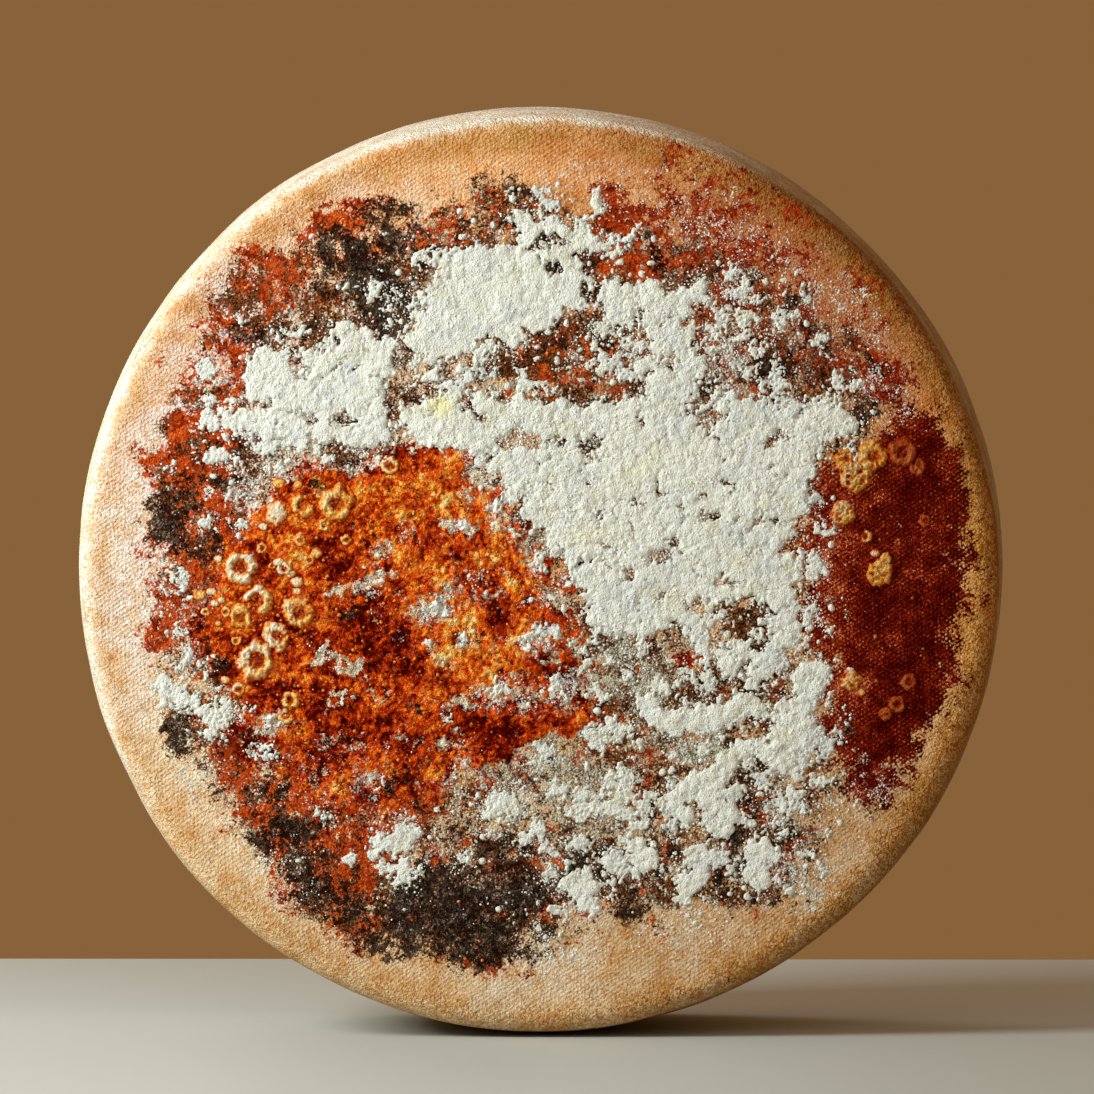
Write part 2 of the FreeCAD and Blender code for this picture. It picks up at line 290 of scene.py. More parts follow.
# Gaps worn through the white: x, y, rx, ry, tilt, how open.
WHITE_GAPS = [
    (588, 324, 18, 9, -20, 0.9), (560, 345, 34, 12, 10, 1.0), (536, 362, 42, 9, 3, .9),
    (607, 350, 24, 7, 0, .9), (590, 385, 42, 8, 4, .8), (632, 372, 13, 9, 30, .9),
    (500, 362, 17, 8, 20, .8), (401, 356, 7, 9, 10, 1.0), (299, 367, 6, 10, 20, 1.0),
    (323, 377, 15, 4, 30, .75), (360, 364, 6, 5, -40, .7), (382, 378, 5, 4, -30, .8),
    (341, 423, 12, 5, -8, .9), (305, 416, 11, 4, -10, .6), (261, 403, 6, 5, 0, 1.0),
    (396, 396, 14, 10, -20, .8), (415, 397, 14, 6, 0, .7), (393, 425, 5, 9, 0, .7),
    (430, 366, 28, 4, 0, .7), (463, 404, 7, 6, 0, .8), (478, 416, 10, 4, -20, .7),
    (505, 380, 24, 7, 10, .6), (436, 414, 6, 4, 0, .6), (770, 439, 7, 7, 30, 1.0),
    (527, 440, 26, 6, -4, .85), (556, 432, 6, 9, 20, .9), (587, 444, 11, 7, 0, .8),
    (589, 460, 14, 9, 20, .45), (640, 424, 4, 7, 30, .8), (660, 488, 6, 5, 0, .7),
    (730, 483, 12, 3, -15, .8), (712, 519, 12, 7, 0, .85), (742, 530, 3, 3, 0, .8),
    (678, 542, 7, 9, -30, .6), (656, 556, 14, 8, 15, .75), (632, 572, 10, 6, 30, .6),
    (728, 582, 11, 5, 0, .5), (659, 600, 5, 4, 0, .8), (698, 607, 12, 6, 0, .8),
    (558, 562, 9, 11, 0, .8), (581, 562, 5, 4, 0, .8), (577, 592, 14, 4, 10, .5),
    (690, 660, 14, 15, 30, .95), (747, 634, 26, 9, 12, 1.0), (782, 633, 6, 5, 0, .5),
    (725, 688, 18, 6, 20, .85), (740, 672, 12, 5, 30, .6), (782, 670, 10, 5, 10, .95),
    (770, 676, 8, 6, 0, .5), (778, 690, 14, 7, 0, .6), (775, 775, 14, 7, -20, .8),
    (743, 600, 8, 4, 0, .5), (616, 306, 5, 4, 0, .0), (642, 312, 4, 3, 0, .7),
    (640, 333, 8, 5, 0, .6), (548, 244, 12, 4, 5, .75), (530, 250, 6, 4, 0, .8),
    (592, 294, 7, 7, 0, 1.0), (577, 257, 6, 4, 0, .6), (552, 270, 12, 8, 0, .35),
    (528, 274, 12, 7, 0, .0), (716, 415, 14, 6, 20, .5), (704, 420, 6, 8, 0, .5),
    (690, 350, 8, 8, 0, .4), (672, 362, 12, 12, 0, .35), (765, 520, 13, 4, -10, .55),
    (790, 520, 8, 4, 0, .6), (752, 805, 8, 20, 0, .9), (700, 812, 5, 8, 0, .7),
    (742, 780, 5, 12, 0, .5), (615, 640, 10, 12, -20, .8), (630, 643, 4, 4, 0, .9),
    (716, 470, 5, 4, 0, .0), (480, 380, 6, 12, 0, .3), (748, 420, 4, 4, 0, .4),
]
# Orange crust, gold and red in it.
CRUST = [([(300, 470), (330, 462), (352, 458), (380, 452), (402, 446), (430, 446),
           (462, 450), (478, 468), (490, 492), (505, 502), (522, 514), (532, 536),
           (540, 560), (556, 586), (576, 606), (578, 622), (566, 640), (572, 668),
           (580, 690), (588, 716), (570, 730), (540, 742), (520, 764), (498, 770),
           (470, 768), (444, 788), (420, 800), (392, 812), (366, 822), (330, 806),
           (300, 776), (268, 758), (240, 740), (232, 700), (214, 680), (200, 650),
           (190, 620), (206, 590), (222, 560), (240, 540), (256, 512), (262, 488)],
          1.0)]
CRUST_BLOBS = [(300, 367, 6, 10, 20, 1.0), (261, 403, 6, 5, 0, .9), (690, 660, 14, 14, 0, .8),
               (699, 656, 12, 12, 0, .8), (782, 670, 10, 5, 0, .7), (556, 617, 18, 12, 0, .9),
               (553, 665, 22, 18, 0, .9), (642, 312, 4, 3, 0, .9), (560, 709, 20, 14, 0, .8),
               (708, 366, 7, 7, 0, .5), (392, 800, 18, 20, -20, .8), (268, 770, 14, 16, 0, .7)]
GOLD = [(290, 538, 30, 16, 0, .55), (285, 570, 40, 30, 0, .1), (400, 540, 30, 40, 0, .4),
        (450, 560, 60, 44, 20, .42), (440, 620, 50, 34, 0, .3), (320, 500, 40, 24, 0, .15),
        (480, 650, 50, 40, 0, .55), (505, 560, 36, 40, 0, .35), (300, 610, 40, 30, 0, .1),
        (490, 520, 20, 20, 0, .4), (390, 490, 40, 24, 0, .4), (440, 500, 50, 40, 0, .35),
        (520, 610, 30, 50, 0, .4)]
DEEP = [(460, 545, 36, 10, -4, .9), (350, 545, 30, 12, 0, .8), (385, 645, 60, 40, 0, .5),
        (390, 600, 30, 20, 0, .5), (450, 735, 80, 22, 0, .5), (330, 730, 50, 40, 0, .5), (290, 640, 60, 30, 0, .3),
        (260, 640, 30, 14, 0, .5), (270, 700, 30, 16, 0, .6), (240, 745, 34, 16, 0, .9),
        (500, 620, 20, 14, 0, .4), (545, 620, 26, 10, 0, .4), (420, 470, 40, 20, 0, .3)]
# Where the rust specks are dark crimson: x, y, rx, ry, tilt, how much.
CRIMSON = [(790, 320, 110, 80, -40, .9), (640, 205, 60, 40, 0, .65), (710, 205, 90, 50, -10, .7),
           (890, 385, 50, 60, 0, .95), (480, 966, 70, 18, 0, .8), (745, 245, 40, 30, 0, .7),
           (815, 560, 26, 120, 0, .5), (800, 850, 70, 50, 0, .5), (330, 940, 60, 20, -30, .6)]
# Cream and grey films over the crust: x, y, rx, ry, tilt, how dense.
CREAM = [(333, 592, 12, 8, 0, .8), (373, 586, 20, 10, 20, .85), (390, 551, 16, 10, 10, .75),
         (436, 610, 24, 12, 20, .7), (325, 655, 12, 8, 20, .8), (349, 668, 14, 10, -20, .85),
         (345, 701, 8, 5, 0, .8), (380, 694, 8, 6, 0, .7), (460, 520, 14, 10, -30, .8),
         (446, 584, 26, 10, 0, .6), (410, 530, 12, 8, 0, .7), (455, 560, 16, 10, 0, .4),
         (470, 600, 40, 22, 10, .42), (500, 590, 30, 30, 0, .34), (520, 560, 20, 26, 0, .38),
         (490, 650, 40, 12, 0, .40), (440, 655, 20, 12, 0, .4), (524, 694, 30, 14, 10, .50),
         (470, 700, 26, 10, 10, .5), (430, 690, 20, 10, 0, .4), (540, 650, 24, 18, 0, .42),
         (560, 700, 20, 22, 0, .42), (400, 740, 26, 10, 0, .5), (350, 740, 40, 12, 0, .45),
         (440, 745, 30, 10, 10, .5), (310, 720, 16, 8, 0, .4), (475, 480, 20, 20, 40, .6),
         (500, 520, 16, 20, 30, .5), (400, 600, 20, 10, 0, .4), (260, 505, 14, 20, -30, .5),
         (300, 480, 30, 10, -20, .45), (350, 470, 30, 8, 0, .4), (330, 690, 20, 10, 0, .35),
         (270, 730, 40, 14, 10, .5), (240, 700, 20, 20, 0, .4), (380, 620, 14, 8, 0, .4)]
FIELD_BRIGHT = [(826, 560, 34, 110, 0, .9), (850, 485, 44, 50, 0, .75), (836, 690, 32, 60, 0, .8),
                (868, 770, 40, 30, 0, .5), (955, 470, 14, 50, -10, .45), (890, 410, 40, 24, -30, .5)]
# Rust red specks on the rind: x, y, rx, ry, tilt, how dense.
RED = [(215, 325, 22, 40, 20, .8), (255, 268, 26, 34, 45, .85), (308, 226, 32, 20, 20, .82),
       (352, 204, 24, 10, 0, .8), (230, 360, 20, 30, 0, .75), (285, 275, 62, 42, 40, .62), (345, 222, 46, 26, 20, .72), (232, 325, 32, 40, 50, .62),
       (225, 372, 38, 34, 0, .60), (190, 400, 34, 60, -10, .6), (230, 420, 40, 40, 0, .5),
       (160, 470, 28, 50, 0, .55), (160, 550, 26, 46, 0, .7), (170, 620, 34, 50, 0, .8),
       (205, 600, 30, 60, 0, .8), (180, 660, 30, 30, 0, .5), (160, 655, 20, 20, 0, .45),
       (240, 745, 40, 26, 0, .9), (255, 800, 50, 44, -30, .7), (310, 830, 60, 60, 0, .75),
       (360, 850, 60, 50, 0, .8), (400, 790, 60, 50, 0, .75), (300, 890, 50, 30, -40, .7),
       (340, 915, 60, 30, -20, .7), (420, 930, 60, 26, 0, .5), (480, 965, 52, 14, -4, .7),
       (330, 935, 30, 10, -30, .6), (440, 240, 60, 30, 10, .65), (390, 255, 50, 30, 0, .55),
       (520, 215, 36, 24, 0, .5), (480, 215, 40, 30, 0, .6), (620, 225, 50, 46, 0, .78),
       (640, 268, 40, 26, 0, .85), (604, 265, 14, 10, 0, 1.0), (618, 234, 12, 12, 0, 1.0),
       (700, 230, 80, 60, -10, .62), (690, 180, 60, 30, -10, .5), (742, 236, 14, 10, 0, .7),
       (770, 270, 60, 40, -30, .55), (800, 320, 60, 50, -30, .5), (730, 320, 60, 50, 0, .6),
       (840, 350, 50, 40, -40, .55), (800, 370, 60, 30, 0, .6), (880, 380, 30, 36, -50, .7),
       (785, 846, 18, 12, 0, .9), (776, 876, 16, 12, 20, .85), (757, 914, 8, 7, 0, .6),
       (740, 905, 40, 14, 0, .35), (590, 905, 30, 14, 0, .6), (560, 895, 16, 10, 0, .6),
       (620, 935, 40, 18, 0, .45), (512, 880, 12, 8, 0, .5), (700, 870, 30, 30, 0, .5),
       (585, 920, 10, 7, 0, .9), (860, 830, 10, 14, 0, .5), (650, 925, 60, 26, 0, .4),
       (560, 950, 40, 12, 0, .4), (690, 855, 12, 6, 0, .6), (470, 840, 30, 12, 0, .6),
       (350, 780, 40, 26, 0, .6), (450, 812, 50, 20, 0, .45), (880, 830, 12, 20, -30, .3),
       (700, 165, 90, 40, -15, .46), (785, 225, 70, 48, -40, .50), (855, 300, 50, 60, 40, .46),
       (905, 372, 34, 54, 30, .44), (950, 470, 16, 60, 10, .16), (965, 600, 12, 90, 0, .12),
       (930, 760, 20, 50, -30, .20), (814, 520, 20, 60, 0, .6), (810, 610, 18, 50, 0, .6),
       (250, 300, 60, 34, 40, .48), (200, 440, 40, 70, 0, .78), (205, 520, 40, 60, 0, .78)]
# The dark red field on the right.
FIELD = [([(862, 452), (882, 430), (905, 408), (922, 406), (938, 426), (953, 454),
           (962, 490), (967, 530), (969, 570), (966, 612), (960, 648), (950, 690),
           (936, 722), (920, 746), (906, 776), (889, 800), (868, 806), (852, 790),
           (836, 770), (824, 752), (818, 726), (824, 700), (822, 664), (806, 646),
           (800, 620), (806, 596), (800, 572), (792, 548), (802, 520), (806, 494),
           (820, 470), (840, 456)], 1.0)]
FIELD_BLOBS = [(905, 430, 26, 34, -40, .8), (895, 400, 24, 24, 0, .55)]
# Brown ground in the gaps, and the grey-olive ground.
BROWN = [(570, 350, 60, 34, 0, 1.0), (500, 365, 40, 24, 0, .9), (745, 634, 34, 16, 0, .95),
         (700, 690, 60, 24, 0, .8), (660, 770, 34, 40, 0, .55), (640, 745, 30, 20, 0, .6),
         (700, 645, 20, 14, 0, .4), (420, 400, 60, 30, 0, .5), (770, 439, 12, 12, 0, .9),
         (560, 780, 60, 30, 0, .55), (540, 820, 50, 34, 0, .5), (640, 690, 30, 20, 0, .5),
         (735, 860, 30, 30, 0, .5), (592, 294, 10, 10, 0, 1.0), (620, 760, 40, 26, 0, .6),
         (480, 780, 40, 20, 0, .4), (715, 690, 26, 12, 20, .9), (775, 776, 18, 10, 0, .6),
         (240, 300, 40, 30, 0, .3), (700, 800, 14, 40, 0, .6), (540, 945, 60, 16, 0, .3),
         (840, 370, 60, 30, -30, .6), (780, 380, 60, 26, 0, .5), (370, 900, 90, 40, -10, .6),
         (255, 300, 70, 40, 40, .62), (195, 480, 46, 90, 0, .72), (330, 260, 60, 40, 20, .5),
         (290, 832, 46, 40, -40, .6), (450, 920, 80, 34, 0, .6), (200, 640, 40, 60, 0, .5)]
OLIVE = [(640, 690, 34, 40, -20, .8), (668, 680, 30, 20, 0, .6), (612, 665, 24, 40, -20, .8),
         (700, 745, 30, 16, 10, .9), (660, 740, 26, 20, 0, .7), (560, 770, 60, 22, 0, .75),
         (560, 500, 40, 12, -4, .7), (540, 560, 22, 40, 0, .6), (590, 535, 40, 10, 0, .5),
         (520, 385, 60, 14, 4, .7), (450, 372, 60, 10, 0, .6), (620, 590, 30, 14, 0, .3),
         (540, 830, 40, 40, 0, .5), (600, 800, 30, 30, 0, .4), (480, 800, 40, 30, 0, .35),
         (550, 720, 40, 30, 0, .55), (450, 600, 80, 40, 10, .4), (500, 680, 40, 30, 0, .45),
         (560, 650, 26, 26, 0, .5), (680, 640, 30, 20, 0, .6), (610, 390, 60, 14, 0, .5),
         (500, 435, 30, 10, 0, .4), (540, 440, 40, 12, 0, .6), (656, 556, 18, 12, 0, .8)]
# Black, sooty patches.
BLACK = [(305, 300, 34, 20, -30, .45), (352, 258, 44, 34, -20, .85), (385, 215, 30, 18, 0, .75), (378, 295, 44, 36, -20, .95),
         (330, 268, 14, 26, 10, .85), (318, 288, 14, 10, 0, .8), (400, 250, 50, 36, 0, .7),
         (440, 225, 50, 28, 0, .55), (480, 185, 16, 12, 0, .8), (505, 196, 18, 16, 30, .75),
         (526, 189, 12, 8, 0, .85), (495, 222, 30, 18, 10, .75), (455, 250, 40, 10, 20, .7),
         (252, 332, 26, 14, -10, .85), (235, 345, 26, 14, 0, .6), (300, 332, 44, 12, 0, .7),
         (246, 455, 16, 14, 0, .9), (215, 482, 18, 14, 0, .8), (235, 440, 34, 10, 0, .6),
         (196, 450, 30, 30, 0, .45), (182, 505, 26, 26, 0, .8), (168, 530, 26, 26, 0, .85),
         (200, 545, 26, 20, 0, .8), (215, 525, 20, 24, 0, .5), (185, 570, 24, 20, 0, .4),
         (200, 575, 14, 10, 0, .5), (172, 500, 30, 40, 0, .6), (347, 614, 11, 9, 0, 1.0),
         (325, 481, 12, 8, 0, .8), (409, 707, 10, 9, 0, .9), (180, 733, 14, 24, 25, 1.0),
         (196, 752, 12, 8, -50, .7), (213, 667, 12, 20, 0, .85), (203, 642, 8, 10, 0, .6),
         (270, 757, 20, 12, -20, .7), (238, 757, 14, 8, 0, .6), (204, 786, 8, 8, 0, .7),
         (235, 832, 9, 6, 0, .8), (212, 806, 8, 8, 0, .4), (268, 800, 30, 24, 0, .6),
         (300, 840, 44, 30, -20, .8), (265, 848, 24, 14, -30, .7), (310, 885, 44, 26, -40, .85),
         (350, 905, 50, 30, -30, .75), (370, 940, 30, 14, -20, .8), (430, 905, 60, 44, 0, .88),
         (480, 925, 56, 44, 0, .89), (520, 890, 46, 44, 0, .88), (455, 870, 36, 24, 0, .85),
         (510, 850, 36, 24, 0, .9), (420, 945, 60, 14, 0, .8), (540, 930, 26, 30, 0, .8),
         (390, 785, 16, 14, 0, .7), (415, 770, 18, 16, 0, .55), (430, 830, 24, 16, 0, .55),
         (470, 800, 30, 20, 0, .5), (522, 782, 14, 10, -10, 1.0), (600, 778, 14, 8, -10, .85),
         (575, 866, 26, 16, 0, .95), (632, 905, 34, 20, 0, .9), (655, 880, 20, 30, 0, .6),
         (652, 806, 12, 32, -8, .97), (640, 822, 14, 14, 0, .8), (672, 845, 30, 12, -10, .7),
         (722, 737, 22, 10, -3, 1.0), (747, 730, 9, 10, 0, .9), (740, 830, 16, 36, 0, .9),
         (755, 815, 16, 26, 0, .9), (742, 796, 9, 22, 0, .8), (722, 882, 14, 16, 0, .9),
         (738, 866, 14, 14, 0, .8), (778, 860, 14, 16, 0, .75), (785, 895, 18, 12, 0, .7),
         (756, 897, 18, 6, 0, .7), (815, 855, 14, 14, 0, .75), (800, 830, 26, 20, -20, .65),
         (812, 792, 14, 14, 0, .85), (848, 740, 20, 14, 20, .95), (836, 786, 18, 12, 0, .7),
         (868, 812, 10, 8, 0, .7), (760, 774, 10, 5, 0, .5), (780, 690, 16, 10, 0, .6),
         (795, 297, 17, 14, 0, .85), (788, 308, 12, 12, 0, .7), (762, 260, 14, 16, 0, .4),
         (643, 237, 14, 16, -30, .7), (665, 265, 40, 20, 0, .6), (690, 280, 30, 10, 0, .5),
         (625, 200, 8, 8, 0, .5), (768, 378, 20, 20, 0, .95), (790, 360, 40, 16, 0, .55),
         (830, 362, 16, 12, 0, .8), (832, 384, 18, 12, 0, .85), (706, 388, 18, 12, 0, .95),
         (860, 352, 20, 8, -20, .7), (862, 420, 12, 26, -20, .9), (892, 366, 14, 10, 0, .5),
         (712, 518, 14, 8, 0, .95), (589, 452, 30, 16, 20, .8), (558, 436, 12, 16, 0, .9),
         (540, 438, 26, 8, 0, .6), (630, 400, 60, 12, 0, .6), (575, 395, 60, 12, 0, .6),
         (660, 488, 9, 8, 0, .8), (698, 606, 16, 10, 0, .85), (659, 600, 7, 6, 0, .8),
         (558, 562, 14, 14, 0, .6), (341, 423, 16, 8, 0, .8), (552, 270, 14, 12, 0, .8),
         (612, 640, 12, 14, -20, .85), (635, 670, 14, 12, -20, .6), (730, 483, 14, 6, 0, .8),
         (675, 350, 30, 30, 0, .4), (820, 880, 16, 12, 0, .3), (548, 958, 8, 6, 0, .6),
         (660, 560, 16, 10, 0, .5), (825, 450, 12, 12, 0, .6), (384, 323, 20, 14, -30, .9)]
# Thin grey bloom, as between the mats.
GREY = [(725, 365, 30, 24, 0, .9), (405, 305, 30, 30, 0, .6), (215, 260, 20, 14, 0, .25),
        (220, 290, 16, 12, 0, .35), (155, 610, 20, 20, 0, .3), (480, 790, 40, 26, 0, .5),
        (300, 870, 40, 24, 0, .4), (350, 780, 50, 30, 0, .4), (440, 610, 60, 20, 10, .5),
        (540, 690, 40, 30, 0, .5), (330, 460, 60, 14, 0, .6), (800, 870, 40, 30, -40, .5),
        (700, 930, 60, 20, -6, .35), (840, 290, 26, 30, -40, .4), (440, 310, 14, 30, 0, .5),
        (238, 495, 24, 24, 0, .5), (170, 670, 34, 30, 0, .35), (200, 780, 30, 20, -40, .5)]
# Craters and knobs of gold crust: x, y, radius, kind, tilt, pale_and_painted_highlight. Kinds: 0 knob,
# 1 ring, 2 open ring, 4 shaggy cup, 5 solid flake. Below 0, the last value means dark red. Up to 1 it lays pale
# cream as a painted highlight on the rim's side that faces the key light alone; above 1 the pale spreads over all of
# it.
ROSETTES = [
    (276, 513, 15.5, 0, 70, 2.0), (303, 505, 14.0, 2, 50, 0.1), (337, 504, 18.5, 4, 30, 0.15),
    (279, 484, 8.0, 0, 0, 0), (298, 485, 5.5, 0, 0, 0), (263, 527, 6.0, 0, 0, 2.0),
    (240, 567, 18.5, 1, 30, 2.0), (218, 559, 5.5, 0, 0, 2.0), (211, 568, 3.6, 1, 0, .5),
    (211, 592, 6.8, 0, 0, 2.0), (214, 604, 5.5, 0, 0, 2.0), (221, 600, 5.0, 0, 0, 2.0),
    (199, 595, 8.5, 0, 0, 0.2), (256, 600, 17.5, 2, 235, 1.3), (240, 618, 14.0, 4, 250, 0.1),
    (278, 562, 6.5, 0, 0, 1.5), (284, 569, 8.0, 1, 0, 1.5), (291, 574, 6.5, 0, 0, 1.2),
    (297, 582, 8.0, 0, 0, 1.4), (296, 591, 6.0, 0, 0, 1.6), (272, 566, 4.0, 1, 0, 0),
    (299, 613, 17.0, 4, 60, 0.45), (277, 636, 15.5, 4, 10, 1.6), (256, 660, 21.5, 1, 150, 1.3),
    (316, 553, 7.5, 0, 0, 0.4), (390, 466, 10.0, 1, 0, 0.5), (290, 700, 10.0, 1, 0, 0.2),
    (225, 612, 6.0, 1, 0, 0.3), (205, 612, 5.0, 1, 0, 0.3), (218, 624, 4.5, 0, 0, 0.6),
    (238, 690, 8.0, 1, 30, .6), (225, 680, 6.0, 0, 0, 1.0), (286, 716, 9.0, 2, 30, 0.3),
    (236, 641, 6.0, 1, 0, 0.1), (300, 540, 7.0, 4, 0, 0.3), (309, 560, 6.0, 4, 0, 0.2),
    (324, 525, 7.0, 4, 90, 0.2), (346, 540, 6.0, 4, 0, 0.1), (262, 548, 6.5, 4, 0, 0.3),
    (855, 476, 18.0, 5, 10, 0.3), (845, 459, 12.0, 5, 60, 0), (872, 456, 15.0, 4, 20, 0),
    (902, 452, 15.0, 4, 90, -1), (917, 467, 10.0, 5, 0, -1), (843, 513, 15.0, 5, 100, 0.6),
    (866, 536, 7.0, 2, 150, 0), (880, 573, 15.5, 5, 110, 0), (875, 553, 6.0, 0, 0, 1.6),
    (886, 558, 6.5, 5, 0, 0), (851, 680, 12.0, 5, 60, 0.4), (909, 682, 9.0, 4, 0, -1),
    (898, 704, 9.5, 4, 60, -1), (886, 714, 7.5, 5, 0, -1), (925, 520, 7.0, 4, 0, -1), (862, 692, 5.0, 0, 0, 0),
]


# The whole mouldy area: between its patches the ground is brown, olive and dark.
MOULDY = [([(472, 186), (520, 184), (556, 206), (600, 214), (640, 222), (690, 236),
            (740, 244), (770, 272), (804, 298), (846, 330), (884, 366), (905, 408),
            (860, 470), (830, 560), (812, 640), (830, 720), (880, 800), (842, 832),
            (806, 858), (786, 900), (748, 914), (700, 908), (660, 916), (612, 914),
            (575, 922), (545, 948), (500, 962), (440, 956), (380, 944), (320, 912),
            (276, 874), (240, 826), (205, 776), (184, 748), (166, 700), (172, 640),
            (160, 560), (166, 490), (190, 430), (216, 380), (246, 332), (300, 276),
            (346, 236), (410, 220)], 1.0)]


# Where the white is open and crumbly: x, y, rx, ry, tilt, how much.
POROUS = [(540, 450, 60, 30, 10, .8), (450, 400, 60, 24, 0, .7), (640, 580, 60, 50, 30, .45),
          (720, 640, 70, 50, 0, .45), (780, 680, 30, 40, 0, .35), (700, 800, 60, 60, 0, .40),
          (620, 850, 60, 30, 0, .6), (340, 400, 60, 40, 0, .22), (380, 360, 40, 30, 0, .3),
          (640, 330, 50, 40, 0, .45), (730, 310, 60, 50, 0, .6), (790, 420, 50, 30, 0, .45),
          (520, 490, 40, 30, 40, .6), (690, 520, 50, 30, 0, .35), (800, 560, 20, 60, 0, .5),
          (440, 290, 20, 40, 30, .5), (420, 330, 20, 30, 0, .6), (300, 440, 60, 16, 0, .6),
          (560, 255, 30, 20, 0, .3), (660, 710, 60, 12, 0, .1), (790, 760, 30, 40, 0, .4)]


# Broken white: islands of every size, x, y, rx, ry, tilt, how much.
GRANULAR = [(400, 325, 26, 40, 20, .62), (470, 372, 60, 16, 4, .66), (500, 410, 90, 18, 0, .6),
            (560, 380, 60, 16, 0, .5), (640, 345, 50, 60, 0, .62), (720, 320, 50, 50, 0, .56),
            (770, 300, 60, 36, -20, .46), (740, 380, 60, 30, 0, .58), (820, 420, 50, 26, -20, .55),
            (850, 380, 40, 26, -20, .44), (600, 240, 50, 30, 0, .5), (540, 210, 40, 20, 0, .55),
            (440, 270, 30, 40, 40, .5), (330, 345, 60, 20, 0, .5), (230, 410, 40, 40, 0, .5),
            (280, 455, 70, 16, 0, .6), (370, 455, 50, 12, 0, .5), (520, 480, 40, 40, 40, .6),
            (560, 560, 30, 60, 20, .62), (590, 640, 60, 40, 0, .5), (680, 660, 80, 44, 0, .56),
            (780, 660, 40, 60, 0, .6), (620, 740, 60, 26, 0, .5), (740, 760, 60, 60, 0, .58),
            (780, 810, 50, 40, -20, .55), (700, 840, 80, 40, 0, .52), (600, 800, 60, 40, 0, .52),
            (540, 820, 60, 40, 0, .46), (600, 870, 60, 30, 0, .5), (560, 930, 40, 26, 0, .46),
            (808, 580, 18, 80, 0, .46), (820, 740, 30, 30, 0, .5), (460, 590, 60, 26, 0, .36),
            (500, 690, 50, 24, 20, .44), (440, 640, 40, 40, 0, .14), (470, 800, 40, 24, 0, .42),
            (400, 855, 40, 40, 0, .42), (190, 660, 40, 60, 0, .5), (240, 715, 50, 26, 0, .5),
            (230, 500, 30, 26, 0, .46), (180, 590, 24, 40, 0, .4), (330, 800, 60, 40, 0, .2),
            (350, 690, 60, 30, 0, .1), (340, 600, 50, 30, 0, .28), (800, 870, 40, 26, -40, .44),
            (690, 900, 60, 20, 0, .44), (860, 790, 30, 20, -40, .3), (540, 640, 30, 30, 0, .5)]


def white_cover(x, y):
    """0..1 cover of the white, ragged at its edge, with crumbly holes."""
    wx, wy = warp(x, y, 7.0, 4.5, 3)
    w = cover(wx, wy, WHITE_MATS, WHITE_FLOCKS, 7.0)
    gx, gy = warp(x, y, 4.0, 3.4, 23)
    w = w * (1 - np.clip(1.25 * cover(gx, gy, (), WHITE_GAPS, 7.0), 0, 1))
    open_ = cover(*warp(x, y, 8, 3, 29), (), POROUS, 16)
    rag = fbm(x, y, 15.0, 5, 311, 0.70)
    loose = cover(*warp(x, y, 10, 4, 37), (), GRANULAR, 24)
    loose = loose * (1 - 0.75 * cover(*warp(x, y, 16.0, 6.0, 47), CRUST, (), 24))
    loose = loose * 0.93 + 0.46 * fbm(x, y, 15.0, 5, 319, 0.72) * step(0.02, 0.25, loose)
    w = np.maximum(w, loose)
    hole = step(0.30, 0.75, fbm(x, y, 9.0, 4, 313, 0.68) + 0.22 * fbm(x, y, 40, 2, 317))
    line = step(0.13, 0.02, np.abs(fbm(x, y, 26.0, 4, 331, 0.62)))
    line = line * step(-0.10, 0.35, fbm(x, y, 30.0, 3, 333)) * (1 - cover(x, y, [WHITE_MATS[1]], (), 10))
    w = w - 0.54 * line
    return np.clip(w + (0.40 - 0.24 * step(0.85, 1.0, w)) * rag * step(0.02, 0.3, w)
                   - 0.95 * hole * np.maximum(open_, 0.10) * step(0.2, 0.6, w), 0, 1.1)


